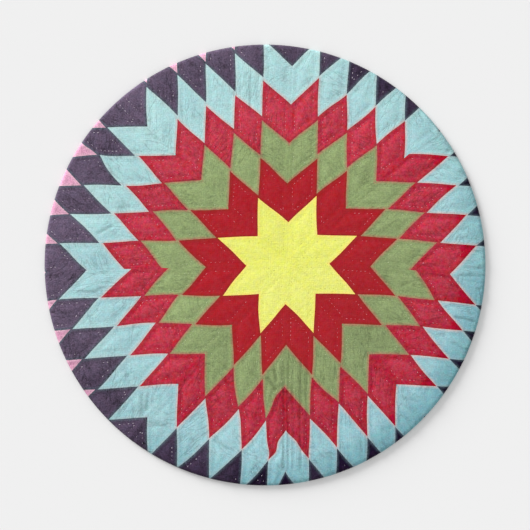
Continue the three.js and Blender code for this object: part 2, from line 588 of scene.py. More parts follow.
    def _bump(self, tree: Tree, threads: Socket, fleck: Socket, folds: dict[str, Socket]) -> Socket:
        """Raises the slubs, the fuzz and a coarse weave, and presses the wrinkles and pleats in.

        Args:
            tree: The tree that takes the nodes.
            threads: The slubs.
            fleck: The finest spots.
            folds: The wrinkles and the pleats.

        Returns:
            The direction of the bumped surface.
        """
        grain = add_node(tree, "ShaderNodeUVMap", uv_map="weave")
        look = {"Vector": grain, "Scale": math.tau / WAVE_RATE / self.WEAVE_PITCH}
        ribs = [add_node(tree, "ShaderNodeTexWave", look, bands_direction=way).outputs["Fac"] for way in "XY"]
        weave = add_node(tree, "ShaderNodeMath", {0: ribs[0], 1: ribs[1]}, operation="MULTIPLY").outputs[0]
        shares = (
            (weave, self.WEAVE_RISE),
            (fleck, self.FLECK_RISE),
            (threads, self.SLUB_RISE),
            (folds["wrinkles"], -self.WRINKLE_SINK * self.wrinkle),
            (folds["pleats"], -self.PLEAT_SINK),
        )
        height = self._summed(tree, 0.0, shares)
        raised = {"Strength": self.BUMP_STRENGTH, "Distance": self.BUMP_DEPTH * MM, "Height": height}
        return add_node(tree, "ShaderNodeBump", raised).outputs[0]


@dataclass(frozen=True)
class ThreadFinish:
    """Old cotton quilting thread: matt, pale, and tinged by the dye of the cloth it holds.

    Attributes:
        name: The material's name.
        light: How bright the thread is where a ply stands up, against its own colour: a painted highlight.
        dark: How bright it is between its plies: painted shade.
        ply: How far apart its plies are, drawn coarse so that they show.
    """

    name: str = "cotton_quilting_thread"
    light: float = 1.06
    dark: float = 0.84
    ply: float = 1.6

    ROUGHNESS = 0.8
    FUZZ = 0.1
    TWIST_DEPTH = 0.1
    TWIST_STRENGTH = 0.4

    def material(self) -> bpy.types.Material:
        """Builds the thread's procedural material.

        Returns:
            The material, with its colour from the mesh and its plies from nodes.
        """
        made, tree = new_material(self.name)
        place = add_node(tree, "ShaderNodeTexCoord").outputs["Object"]
        look = {"Vector": place, "Scale": 1 / (self.ply * MM), "Detail": 2.0}
        plies = add_node(tree, "ShaderNodeTexNoise", look)
        low, high = NOISE_RANGE
        # Painted highlight on the raised plies and painted shade between them
        shade = add_node(tree, "ShaderNodeMapRange", {0: plies, 1: low, 2: high, 3: self.dark, 4: self.light})
        dyed = add_node(tree, "ShaderNodeAttribute", attribute_name="thread").outputs["Color"]
        colour = add_node(tree, "ShaderNodeHueSaturation", {"Value": shade, "Color": dyed})
        raised = {"Strength": self.TWIST_STRENGTH, "Distance": self.TWIST_DEPTH * MM, "Height": plies}
        twist = add_node(tree, "ShaderNodeBump", raised)
        shader = add_node(
            tree,
            "ShaderNodeBsdfPrincipled",
            {"Base Color": colour, "Roughness": self.ROUGHNESS, "Sheen Weight": self.FUZZ, "Normal": twist},
        )
        add_node(tree, "ShaderNodeOutputMaterial", {"Surface": shader})
        return made


COTTONS = {
    Fabric.YELLOW: CottonFinish(
        "lemon_cotton",
        lit_colour="#E2E563",
        shaded_colour="#DEE177",
        worn="#E6E782",
        edge="#F6D573",
        wear=0.2,
        mottle=0.05,
        slub=0.03,
        wrinkle=0.08,
        thread="#C6C25E",
        hue_drift=0.007,
        strength_drift=0.055,
    ),
    Fabric.DEEP_RED: CottonFinish(
        "turkey_red_cotton",
        lit_colour="#AA1D28",
        shaded_colour="#9E1E26",
        worn="#AB202C",
        edge="#87281B",
        wear=0.2,
        mottle=0.05,
        slub=0.03,
        wrinkle=0.05,
        hue_drift=0.002,
        strength_drift=0.015,
        thread="#DE828B",
    ),
    Fabric.SAGE: CottonFinish(
        "sage_cotton",
        lit_colour="#8FA26D",
        shaded_colour="#7F8F62",
        worn="#8F9F70",
        edge="#AC7660",
        wear=0.2,
        edging=1.0,
        outer_edging=1.0,
        mottle=0.12,
        slub=0.06,
        wrinkle=0.2,
        thread="#BCC6A0",
    ),
    Fabric.ROSE: CottonFinish(
        "rose_red_cotton",
        lit_colour="#B93344",
        shaded_colour="#A41F33",
        worn="#BE475A",
        edge="#983239",
        wear=0.3,
        mottle=0.15,
        slub=0.08,
        wrinkle=0.25,
        shades_towards=-70.0,
        thread="#E39AA5",
    ),
    Fabric.AQUA: CottonFinish(
        "aqua_cotton",
        lit_colour="#ABD2D2",
        shaded_colour="#8EB8C1",
        worn="#A3CCD1",
        edge="#CDB7B5",
        wear=0.2,
        edging=1.0,
        outer_edging=0.25,
        mottle=0.08,
        slub=0.05,
        wrinkle=0.21,
        hue_drift=0.014,
        strength_drift=0.12,
        shades_towards=-62.0,
        thread="#B4D2D4",
    ),
    Fabric.NAVY: CottonFinish(
        "faded_navy_cotton",
        lit_colour="#5B4E62",
        shaded_colour="#150524",
        worn="#64576D",
        edge="#4E5C65",
        wear=0.1,
        edging=1.0,
        mottle=0.24,
        slub=0.1,
        wrinkle=0.34,
        hue_drift=0.02,
        shades_towards=-24.0,
        shade_span=(-190.0, 130.0),
        thread="#DACFDA",
    ),
    Fabric.PINK: CottonFinish(
        "pink_cotton",
        lit_colour="#CD94AF",
        shaded_colour="#C18DA7",
        worn="#D29CB5",
        edge="#D5ABBB",
        wear=0.2,
        mottle=0.16,
        slub=0.08,
        wrinkle=0.2,
        thread="#E4BECE",
    ),
    Fabric.MUSLIN: CottonFinish(
        "unbleached_muslin",
        lit_colour="#E4DCCB",
        shaded_colour="#DDD3BF",
        worn="#E8E1D2",
        edge="#DCD2BE",
        wear=0.1,
        edging=0.0,
        outer_edging=0.0,
        mottle=0.08,
        slub=0.14,
        wrinkle=0.05,
    ),
}


# Layout


class Patch(NamedTuple):
    """One diamond: its star point, its row along the strip, and its strip."""

    point: int
    row: int
    strip: int

    @property
    def fabric(self) -> Fabric:
        """Its cotton: each round of the star has its own."""
        return Fabric(min(self.row + self.strip, Fabric.PINK.value))


@dataclass(frozen=True)
class Join:
    """One join between two star points, as the hand piecing left it.

    Attributes:
        turn: Degrees off its even place round the star.
        bend: Degrees that it turns further with each row.
        stretch: Length of its rows against the drawn side of a diamond.
        slips: For a row, how far its seam slipped outwards along the join, as a share
            of a side, on the star point before the join and on the one after it.
    """

    turn: float
    bend: float
    stretch: float
    slips: dict[int, tuple[float, float]] = field(default_factory=dict)


@dataclass(frozen=True)
class Pull:
    """A spot where sewing and gathers have drawn the seams aside.

    Attributes:
        spot: Where the pull is strongest, x and y.
        shift: How far the cloth has moved there, x and y.
        reach: How far from the spot the pull has mostly died out.
    """

    spot: tuple[float, float]
    shift: tuple[float, float]
    reach: float

    def move(self, places: np.ndarray) -> np.ndarray:
        """Moves places on the floor by the pull.

        Args:
            places: The places, with x and y in the last axis.

        Returns:
            Where they have come to.
        """
        away = np.hypot(places[..., 0] - self.spot[0], places[..., 1] - self.spot[1])
        share = np.exp(-((away / self.reach) ** 2))
        return places + share[..., None] * np.array(self.shift)


@dataclass(frozen=True)
class StarLayout:
    """Where each diamond of the star lies on the floor.

    Every star point is sewn from strips of diamonds, which run along the level or
    upright join on one of its sides. A spot is given by its star point, counted round
    from +X, by its run, which is how many rows out along the strips it lies, and by how
    many strips it lies aside from that join.

    Strips were sewn a little out of step, so four diamonds never quite meet: two of the
    same round touch along a short neck.

    Attributes:
        radius: Radius of the quilt.
        strip_width: Width of a strip between its seams.
        rows: Diamonds along a star point's side.
        centre: The star's middle, which is off the quilt's own.
        gather_left: How far the lower middle is drawn in on its left.
        gather_right: How far the lower middle is drawn in on its right.
        gather_reach: How far to either side it is drawn in most.
        gather_from: How far below the star's middle the gathering starts.
        gather_over: Over what length it grows to its full amount.
        wander: How far seams wander off their lines, slowly.
        wander_span: Over what length they wander, across and up.
        wander_start: The angles that the wandering starts at.
        wobble: How far seams wobble off their lines, quickly.
        wobbles: Lengths across and up, and a starting angle, of each wobble.
        neck: Usual length of a neck, as a share of a side.
        neck_spread: How much the necks differ.
        neck_range: The shortest and the longest neck.
        neck_seed: Seed of the necks.
        tight_neck: Length of a neck in the round where diamonds nearly meet.
        tight_round: Which round that is, in rows and strips from the middle.
        tight_points: The star points where they nearly meet.
        long_necks: Necks given one by one, by star point, row and seam.
        shifts: How far a row slipped outwards at a seam, by star point, row and seam.
        pulls: Where sewing and gathers have drawn the seams aside.
        joins: The joins between the star points, from the one along +X.
    """

    radius: float
    strip_width: float = STRIP_WIDTH
    rows: int = 7
    centre: tuple[float, float] = (29.4, 2.6)
    gather_left: float = 16.0
    gather_right: float = 7.0
    gather_reach: float = 65.0
    gather_from: float = 60.0
    gather_over: float = 150.0
    wander: float = 0.8
    wander_span: tuple[float, float] = (23.0, 25.0)
    wander_start: tuple[float, float] = (0.6, 1.1)
    wobble: float = 0.36
    wobbles: tuple[tuple[float, float, float], ...] = (
        (13.0, 31.0, 0.4),
        (-19.0, 12.0, 2.2),
        (9.0, -23.0, 4.1),
    )
    neck: float = 0.062
    neck_spread: float = 0.018
    neck_range: tuple[float, float] = (0.02, 0.13)
    neck_seed: int = 5
    tight_neck: float = 0.015
    tight_round: int = 5
    tight_points: tuple[int, ...] = (1, 5, 6, 7)
    long_necks: dict[tuple[int, int, int], float] = field(
        default_factory=lambda: {
            (0, 4, 1): 0.0,
            (7, 4, 1): 0.0,
            (1, 4, 1): 0.04,
            (1, 3, 1): 0.08,
            (1, 2, 1): 0.115,
            (2, 3, 1): 0.1,
            (2, 2, 1): 0.085,
            (2, 1, 4): 0.08,
            (2, 1, 5): 0.1,
        }
    )
    shifts: dict[tuple[int, int, int], float] = field(
        default_factory=lambda: {(0, 4, 1): -0.1, (0, 3, 2): -0.05, (7, 4, 1): -0.035}
    )
    pulls: tuple[Pull, ...] = (
        Pull((15.9, -177.6), (-3.4, 2.4), 15.0),
        Pull((16.0, -234.0), (-3.0, 0.6), 10.0),
        Pull((12.0, -254.0), (3.4, 0.0), 9.5),
        Pull((44.0, -236.0), (1.8, 1.0), 10.0),
        Pull((-167.0, -84.0), (9.3, 6.5), 66.0),
        Pull((-53.0, -147.0), (-5.0, 1.5), 50.0),
        Pull((104.0, -200.0), (2.5, 7.5), 48.0),
        Pull((240.0, -105.0), (-6.2, -1.8), 55.0),
        Pull((215.0, 70.0), (-2.4, -3.0), 52.0),
        Pull((182.0, 205.0), (-5.5, -8.0), 50.0),
        Pull((100.0, 205.0), (0.0, -4.0), 42.0),
        Pull((-45.0, 242.0), (5.3, -4.0), 60.0),
        Pull((-100.0, 180.0), (1.5, -4.5), 34.0),
        Pull((-205.0, 75.0), (4.8, 0.5), 58.0),
        Pull((-107.0, 13.0), (-2.5, -4.2), 34.0),
        Pull((-40.0, 50.0), (-2.4, 0.0), 38.0),
        Pull((100.0, -5.0), (2.5, 0.0), 48.0),
        Pull((-165.0, -140.0), (4.8, 2.6), 42.0),
        Pull((-59.0, -47.0), (4.8, -0.5), 27.0),
        Pull((-161.0, 132.0), (3.8, -2.7), 36.0),
        Pull((-117.0, 235.0), (3.4, 0.0), 30.0),
        Pull((20.0, -117.0), (-0.3, 3.0), 44.0),
        Pull((-25.0, -262.0), (0.8, 3.2), 55.0),
        Pull((190.0, -22.0), (1.8, -2.4), 30.0),
        Pull((-240.0, -60.0), (1.6, 2.4), 45.0),
        Pull((-235.0, 29.0), (3.0, -1.0), 24.0),
        Pull((80.0, 165.0), (-2.2, -1.2), 32.0),
        Pull((-231.0, 147.0), (5.5, 2.0), 17.0),
        Pull((-200.0, -176.0), (4.6, 0.5), 28.0),
        Pull((-120.0, 192.0), (1.2, -3.6), 38.0),
        Pull((59.0, -264.0), (-1.2, 3.2), 26.0),
        Pull((42.0, 264.0), (2.6, -2.4), 30.0),
        Pull((117.0, 238.0), (-1.2, -3.4), 24.0),
    )
    joins: tuple[Join, ...] = (
        Join(turn=0.0, bend=-0.95, stretch=1.015, slips={3: (0.15, 0.0)}),
        Join(turn=-1.0, bend=-0.55, stretch=1.005, slips={4: (0.08, -0.08)}),
        Join(turn=-1.0, bend=0.0, stretch=0.985),
        Join(turn=1.8, bend=-0.25, stretch=0.978),
        Join(turn=2.3, bend=0.0, stretch=1.0, slips={3: (0.13, -0.05), 4: (0.09, -0.08)}),
        Join(turn=2.5, bend=0.05, stretch=1.035),
        Join(turn=-0.8, bend=0.0, stretch=1.045),
        Join(turn=-1.6, bend=-0.3, stretch=1.022),
    )

    @property
    def side(self) -> float:
        """The drawn length of a diamond's side."""
        return self.strip_width / math.sin(math.pi / 4)

    @cached_property
    def necks(self) -> np.ndarray:
        """The length of every neck.

        Returns:
            The lengths in rows, by star point, row and seam between strips.
        """
        draw = np.random.default_rng(self.neck_seed)
        size = (len(self.joins), self.rows + 1, self.rows + 1)
        found = np.clip(draw.normal(self.neck, self.neck_spread, size), *self.neck_range)
        for row in range(1, self.tight_round):
            found[self.tight_points, row, self.tight_round - row] = self.tight_neck
        for spot, length in self.long_necks.items():
            found[spot] = length
        found[:, 0, :] = 0
        found[:, :, 0] = 0
        return found

    def axis_of(self, point: int) -> tuple[int, Side]:
        """Names the join that a star point's strips run along, and the point's side of it."""
        return (point, Side.AFTER) if point % 2 == 0 else ((point + 1) % len(self.joins), Side.BEFORE)

    def diagonal_of(self, point: int) -> tuple[int, Side]:
        """Names the slanting join of a star point, and the point's side of it."""
        return (point + 1, Side.BEFORE) if point % 2 == 0 else (point, Side.AFTER)

    def join_at(self, join: int, rows: np.ndarray) -> np.ndarray:
        """Finds where a join has come to.

        Args:
            join: The join.
            rows: How many rows out from the star's middle.

        Returns:
            The x and y from the star's middle, in the last axis.
        """
        hand = self.joins[join]
        angle = np.radians(360 / len(self.joins) * join + hand.turn + hand.bend * rows)
        length = self.side * hand.stretch * rows
        return np.stack([length * np.cos(angle), length * np.sin(angle)], -1)

    def slip(self, join: int, side: Side, rows: np.ndarray) -> np.ndarray:
        """Finds how far the seams on one side of a join slipped outwards.

        Args:
            join: The join.
            side: Which side of it.
            rows: How many rows out from the star's middle.

        Returns:
            The slips, in rows.
        """
        known = self.joins[join].slips
        lines = np.arange(self.rows + 1)
        return np.interp(rows, lines, [known.get(line, (0.0, 0.0))[side.value] for line in lines])

    def slipped(
        self, point: int, strip: int, run: np.ndarray, aside: np.ndarray
    ) -> tuple[np.ndarray, np.ndarray]:
        """Moves spots of a strip by how its seams slipped in the sewing.

        Args:
            point: The star point.
            strip: The strip, counted from the join that it runs along.
            run: Rows out along the strip.
            aside: Strips aside from that join, from strip to strip + 1.

        Returns:
            The run and the strips aside at which the spots really lie.
        """
        near = self.slip(*self.axis_of(point), run)
        # Half of a neck lies to either side of where its rows were to meet
        if strip:
            near = self._stepped(point, strip, run, 0.5)
        far = self._stepped(point, strip + 1, run, -0.5)
        share = aside - strip
        moved_run = run + near * (1 - share) + far * share
        slanting = self.slip(*self.diagonal_of(point), aside)
        return moved_run, aside + slanting * np.clip(1 - moved_run, 0, 1)

    def _stepped(self, point: int, seam: int, run: np.ndarray, share: float) -> np.ndarray:
        """Finds how far rows slipped at a seam between strips.

        Args:
            point: The star point.
            seam: The seam, counted from the join that the strips run along.
            run: Rows out along the strips.
            share: Share of each neck by which they slipped.

        Returns:
            The slips, in rows.
        """
        lines = np.arange(self.rows + 1)
        shifts = [self.shifts.get((point, line, seam), 0.0) for line in lines.tolist()]
        return np.interp(run, lines, share * self.necks[point, :, seam] + shifts)

    def place(self, point: int, run: np.ndarray, aside: np.ndarray) -> np.ndarray:
        """Lays spots of a star point out on the floor.

        Args:
            point: The star point.
            run: Rows out along its strips.
            aside: Strips aside from the join that they run along.

        Returns:
            The spots' x and y, in the last axis.
        """
        axis, diagonal = self.axis_of(point)[0], self.diagonal_of(point)[0]
        even = self.join_at(axis, run) + self.join_at(diagonal, aside)
        x, y = even[..., 0], even[..., 1]
        gathered = np.clip((-y - self.gather_from) / self.gather_over, 0, 1)
        off = x / self.gather_reach
        most = np.where(x < 0, self.gather_left, self.gather_right)
        drawn = x - gathered * most * off * np.exp((1 - off * off) / 2)
        wander_x = self.wander * np.sin(y / self.wander_span[0] + self.wander_start[0])
        wander_y = self.wander * np.sin(drawn / self.wander_span[1] + self.wander_start[1])
        for across, up, start in self.wobbles:
            wander_x = wander_x + self.wobble * np.sin(drawn / across + y / up + start)
            wander_y = wander_y + self.wobble * np.sin(drawn / up - y / across + 2 * start)
        laid = np.stack([self.centre[0] + drawn + wander_x, self.centre[1] + y + wander_y], -1)
        for pull in self.pulls:
            laid = pull.move(laid)
        return laid

    def patches(self) -> list[Patch]:
        """Lists every diamond of the star."""
        counts = (len(self.joins), self.rows, self.rows)
        return [Patch(*place) for place in itertools.product(*map(range, counts))]


# Pieced sheet


class Line(NamedTuple):
    """A seam that strips on both sides share: a join, or a seam inside a star point."""

    kind: str
    number: int
    seam: int = 0


@dataclass
class Corner:
    """One corner of a polygon.

    Attributes:
        vertex: Its vertex.
        run: Rows out along its strip, as drawn.
        aside: Strips aside from the join that its strip runs along, as drawn.
        lines: The shared lines that it lies on, and how far along each.
        necked: Whether it lies on a neck, with the same cotton on both sides.
    """

    vertex: int
    run: float
    aside: float
    lines: dict[Line, float] = field(default_factory=dict)
    necked: bool = False

    def towards(self, other: Corner, share: float) -> tuple[float, float]:
        """Gives the run and the strips aside at a share of the way to another corner."""
        run = self.run + share * (other.run - self.run)
        return run, self.aside + share * (other.aside - self.aside)


@dataclass
class PiecedSheet:
    """Polygons of the pieced star, trimmed to a round.

    Attributes:
        layout: Where the diamonds lie.
        steps: Grid lines of one diamond, from 0 up to but not including 1.
        radius: Radius of the trimmed round.
        spots: Each vertex's x, y and inset from the nearest seam.
        corners: The polygons.
        patches: Each polygon's diamond.
        rim: The vertices on the round, by angle.
        rim_corners: For each rim edge, the two corners and the diamond that it belongs to.
    """

    layout: StarLayout
    steps: tuple[float, ...]
    radius: float
    spots: list[tuple[float, float, float]] = field(default_factory=list)
    corners: list[list[Corner]] = field(default_factory=list)
    patches: list[Patch] = field(default_factory=list)
    rim: list[int] = field(default_factory=list)
    rim_corners: dict[int, tuple[Corner, Corner, Patch]] = field(default_factory=dict)

    # Vertices closer than this are made one: on the round in millimetres, on a seam in rows
    SNAP = 0.35
    SEAM_SNAP = 0.004
    # How many vertices to either side are looked through for one that is there already
    NEARBY = 2

    def __post_init__(self) -> None:
        """Lays out the strips, then cuts their cells to the round."""
        rows = np.arange(self.layout.rows)
        self._runs = np.append((rows[:, None] + np.array(self.steps)).ravel(), self.layout.rows)
        self._on_rim: set[int] = set()
        self._cuts: dict[tuple[int, int], int] = {}
        self._lines: dict[Line, tuple[list[float], list[int]]] = {}
        x, y = self.layout.place(0, np.array(0.0), np.array(0.0))
        self.spots.append((float(x), float(y), 0.0))
        strips = [(point, strip) for point in range(len(self.layout.joins)) for strip in rows.tolist()]
        grids = [self._lay_strip(point, strip) for point, strip in strips]
        self._snap_to_round()
        for (point, strip), grid in zip(strips, grids):
            self._cut_strip(point, strip, grid)
        self._drop_unused()
        self.rim = sorted(self.rim_corners, key=lambda v: math.atan2(self.spots[v][1], self.spots[v][0]))

    def _lay_strip(self, point: int, strip: int) -> list[list[Corner]]:
        """Puts the corners of one strip's grid on the floor.

        Args:
            point: The star point.
            strip: The strip.

        Returns:
            The corners at each crossing of the strip's grid lines, by run.
        """
        asides = strip + np.append(self.steps, 1.0)
        run, aside = np.meshgrid(self._runs, asides, indexing="ij")
        moved_run, moved_aside = self.layout.slipped(point, strip, run, aside)
        places = self.layout.place(point, moved_run, moved_aside)
        inset = np.minimum(self._from_line(run), self._from_line(aside)) * self.layout.strip_width
        spots = np.dstack([places, inset])
        edges = {0: self._edge(point, strip), len(asides) - 1: self._edge(point, strip + 1)}
        slanting = Line("join", self.layout.diagonal_of(point)[0])
        grid = []
        for p in range(len(self._runs)):
            ring = []
            for q in range(len(asides)):
                corner = Corner(0, float(run[p, q]), float(aside[p, q]))
                if p == 0:
                    corner.lines[slanting] = float(moved_aside[p, q])
                if q in edges:
                    corner.lines[edges[q]] = float(moved_run[p, q])
                    corner.necked = self._on_neck(edges[q], float(moved_run[p, q]))
                self._settle(corner, tuple(spots[p, q].tolist()))
                ring.append(corner)
            grid.append(ring)
        return grid

    def _edge(self, point: int, strip: int) -> Line:
        """Names the line along the near edge of a strip."""
        return Line("seam", point, strip) if strip else Line("join", self.layout.axis_of(point)[0])

    def _on_neck(self, line: Line, along: float) -> bool:
        """Says whether a spot on a line lies on a neck.

        Args:
            line: The line.
            along: How far along it the spot lies, in rows.

        Returns:
            Whether the same cotton lies on both sides of it.
        """
        row = round(along)
        if line.kind == "join" or row > self.layout.rows:
            return False
        return abs(along - row) < self.layout.necks[line.number, row, line.seam] / 2 + self.SEAM_SNAP

    def _settle(self, corner: Corner, spot: tuple[float, float, float]) -> None:
        """Gives a corner its vertex: one that is there already on a shared line, or a new one.

        Args:
            corner: The corner, with the lines that it lies on.
            spot: Where it lies.
        """
        vertex = None
        for line, along in corner.lines.items():
            places, vertices = self._lines.setdefault(line, ([], []) if line.kind == "seam" else ([0.0], [0]))
            at = bisect.bisect(places, along)
            for near in (at - 1, at):
                if vertex is None and 0 <= near < len(places) and abs(places[near] - along) < self.SEAM_SNAP:
                    vertex = vertices[near]
                    corner.lines[line] = places[near]
        if vertex is None:
            vertex = len(self.spots)
            self.spots.append(spot)
        corner.vertex = vertex
        for line, along in corner.lines.items():
            places, vertices = self._lines[line]
            at = bisect.bisect(places, along)
            if vertex not in vertices[max(0, at - self.NEARBY) :][: 2 * self.NEARBY]:
                places.insert(at, along)
                vertices.insert(at, vertex)

    @staticmethod
    def _sides(cell: list[Corner]) -> Iterable[tuple[Corner, Corner]]:
        """Pairs each corner of a cell with the one that follows it."""
        return zip(cell, cell[1:] + cell[:1])

    @staticmethod
    def _from_line(rows: np.ndarray) -> np.ndarray:
        """Gives the distance to the nearest whole row."""
        return np.abs(rows - np.round(rows))

    def _snap_to_round(self) -> None:
        """Moves vertices that nearly lie on the round onto it, so that no sliver is cut."""
        spots = np.array(self.spots)
        away = np.hypot(spots[:, 0], spots[:, 1])
        close = np.abs(away - self.radius) < self.SNAP
        spots[close, :2] *= (self.radius / away[close])[:, None]
        self._on_rim = set(np.flatnonzero(close).tolist())
        self._inside = away < self.radius
        self._inside[close] = True
        self._well_inside = self._inside & ~close
        self.spots = list(map(tuple, spots.tolist()))

    def _cut_strip(self, point: int, strip: int, grid: list[list[Corner]]) -> None:
        """Adds one strip's cells, with what its neighbours put on their edges.

        Args:
            point: The star point.
            strip: The strip.
            grid: The corners at each crossing of its grid lines, by run.
        """
        for p, (ring, following) in enumerate(zip(grid, grid[1:])):
            for q in range(len(ring) - 1):
                cell = [ring[q], following[q], following[q + 1], ring[q + 1]]
                if not any(self._inside[corner.vertex] for corner in cell):
                    continue
                if point % 2:
                    cell.reverse()
                cell = self._trimmed(self._with_shared(cell))
                if len(cell) < 3:
                    continue
                patch = Patch(point, p // len(self.steps), strip)
                self.corners.append(cell)
                self.patches.append(patch)
                self._note_rim(cell, patch)

    def _with_shared(self, cell: list[Corner]) -> list[Corner]:
        """Adds the vertices that neighbouring strips put on a cell's edges.

        Args:
            cell: The cell's own corners.

        Returns:
            All of its corners.
        """
        full = []
        for this, following in self._sides(cell):
            full.append(this)
            for line in this.lines.keys() & following.lines.keys():
                full.extend(self._between(line, this, following))
        return full

    def _between(self, line: Line, this: Corner, following: Corner) -> list[Corner]:
        """Lists the corners that lie on a shared line between two corners of a cell.

        Args:
            line: The shared line.
            this: The corner where the edge starts.
            following: The corner where it ends.

        Returns:
            The corners between them, in order.
        """
        places, vertices = self._lines[line]
        start, end = this.lines[line], following.lines[line]
        low, high = sorted((start, end))
        added = []
        for at in range(bisect.bisect(places, low), bisect.bisect_left(places, high)):
            drawn = this.towards(following, (places[at] - start) / (end - start))
            necked = self._on_neck(line, places[at])
            added.append(Corner(vertices[at], *drawn, {line: places[at]}, necked))
        return added if start < end else added[::-1]

    def _trimmed(self, cell: list[Corner]) -> list[Corner]:
        """Cuts a cell off at the round.

        Args:
            cell: The cell's corners.

        Returns:
            The corners of what lies inside.
        """
        if all(self._well_inside[corner.vertex] for corner in cell):
            return cell
        kept = []
        for this, following in self._sides(cell):
            inside, next_inside = self._inside[this.vertex], self._inside[following.vertex]
            if inside:
                kept.append(this)
            inner = this if inside else following
            if inside != next_inside and inner.vertex not in self._on_rim:
                kept.append(self._cut(this, following))
        return kept

    def _cut(self, this: Corner, following: Corner) -> Corner:
        """Puts a corner where an edge crosses the round, once for both of its cells.

        Args:
            this: The corner where the edge starts.
            following: The corner where it ends.

        Returns:
            The corner on the round.
        """
        start, end = np.array(self.spots[this.vertex]), np.array(self.spots[following.vertex])
        way = end - start
        square = way[0] ** 2 + way[1] ** 2
        half = start[0] * way[0] + start[1] * way[1]
        rest = start[0] ** 2 + start[1] ** 2 - self.radius**2
        root = math.sqrt(half * half - square * rest)
        share = (-half + (root if rest < 0 else -root)) / square
        key = tuple(sorted((this.vertex, following.vertex)))
        if key not in self._cuts:
            self._cuts[key] = len(self.spots)
            self._on_rim.add(len(self.spots))
            self.spots.append(tuple((start + share * way).tolist()))
        drawn = this.towards(following, share)
        return Corner(self._cuts[key], *drawn, necked=this.necked and following.necked)

    def _note_rim(self, cell: list[Corner], patch: Patch) -> None:
        """Remembers a cell's edge on the round, by the vertex that it starts from.

        Args:
            cell: The cell's corners.
            patch: Its diamond.
        """
        for this, following in self._sides(cell):
            if this.vertex in self._on_rim and following.vertex in self._on_rim:
                start, end = self.spots[this.vertex], self.spots[following.vertex]
                if start[0] * end[1] - start[1] * end[0] > 0:
                    self.rim_corners[this.vertex] = (this, following, patch)

    def _drop_unused(self) -> None:
        """Drops the vertices that no polygon uses, and numbers the rest anew."""
        used = sorted({corner.vertex for cell in self.corners for corner in cell})
        number = {old: new for new, old in enumerate(used)}
        self.spots = [self.spots[old] for old in used]
        for corner in {id(corner): corner for cell in self.corners for corner in cell}.values():
            corner.vertex = number[corner.vertex]
        self.rim_corners = {number[start]: kept for start, kept in self.rim_corners.items()}


# Quilt


@dataclass(frozen=True)
class Crease:
    """A crease or gather in the top: a soft trough that dies out at both ends.

    Attributes:
        start: Where it starts, x and y.
        end: Where it ends, x and y.
        depth: How deep it is in the middle.
        width: How far from its line it has mostly risen again.
    """

    start: tuple[float, float]
    end: tuple[float, float]
    depth: float = 0.6
    width: float = 1.9

    # Where the crease comes in, from before its end to inside it
    ENDS = (-2.0, 3.0)

    def press(self, x: np.ndarray, y: np.ndarray) -> np.ndarray:
        """Gives how far the crease presses in.

        Args:
            x: The spots' x.
            y: The spots' y.

        Returns:
            The press at each spot, from 0 to 1.
        """
        way = np.subtract(self.end, self.start)
        length = math.hypot(*way)
        along = ((x - self.start[0]) * way[0] + (y - self.start[1]) * way[1]) / length
        aside = ((y - self.start[1]) * way[0] - (x - self.start[0]) * way[1]) / length
        fading = smooth_step(*self.ENDS, along) * smooth_step(*self.ENDS, length - along)
        return np.exp(-((aside / self.width) ** 2)) * fading


CREASES = (
    Crease((-224.7, 40.9), (-202.1, 53.1), depth=0.7),
    Crease((-250.2, -34.7), (-229.6, -37.8)),
    Crease((-229.6, -37.8), (-220.5, -32.7)),
    Crease((-187.8, 86.8), (-187.8, 76.1)),
    Crease((-187.6, -135.9), (-182.4, -151.3)),
    Crease((-164.2, -170.9), (-164.2, -202.9), depth=0.9),
    Crease((-155.8, -170.9), (-157.9, -194.9), depth=0.9),
    Crease((-148.2, -170.9), (-151.3, -185.6)),
    Crease((-149.8, -214.1), (-129.4, -214.1)),
    Crease((-68.1, -233.0), (-46.7, -247.2), depth=0.9),
    Crease((-65.9, -178.9), (-53.7, -189.0)),
    Crease((-19.8, -142.2), (-7.9, -151.5)),
    Crease((3.2, -149.8), (16.0, -167.7), depth=1.4, width=2.8),
    Crease((12.5, -137.9), (16.0, -156.6), depth=1.2, width=2.6),
    Crease((265.9, -3.6), (294.1, -4.5)),
    Crease((259.4, -13.9), (294.1, -14.8)),
    Crease((252.8, -69.7), (281.8, -75.3), depth=0.9),
    Crease((183.0, -176.0), (206.0, -183.0), depth=0.5, width=1.6),
    Crease((182.0, -186.0), (203.0, -197.0), depth=0.5, width=1.6),
    Crease((180.0, -196.0), (196.0, -210.0), depth=0.4, width=1.6),
    Crease((249.6, -103.0), (273.7, -116.0), depth=0.5, width=1.6),
    Crease((214.9, -129.5), (225.6, -137.5), depth=0.4, width=1.6),
    Crease((153.5, -220.5), (172.2, -215.0), depth=0.4, width=1.6),
    Crease((116.0, -231.0), (129.5, -236.5), depth=0.4, width=1.6),
    Crease((284.6, -34.6), (292.2, -28.0)),
    Crease((180.8, -29.9), (193.8, -22.4), depth=0.5),
    Crease((213.6, -11.2), (247.2, -16.8), depth=0.4, width=1.6),
    Crease((213.6, -15.2), (247.2, -20.8), depth=0.4, width=1.6),
    Crease((-19.5, 253.7), (-19.5, 206.9), depth=0.5),
)

# Gathers below the star's middle: x of each, and how deep it is
GATHERS = {25.4: 0.5, 31.4: 0.3, 37.4: 0.5, 47.5: 0.6, 56.1: 0.4}
GATHER_TOP = -126.8
GATHER_FOOT = -273.7


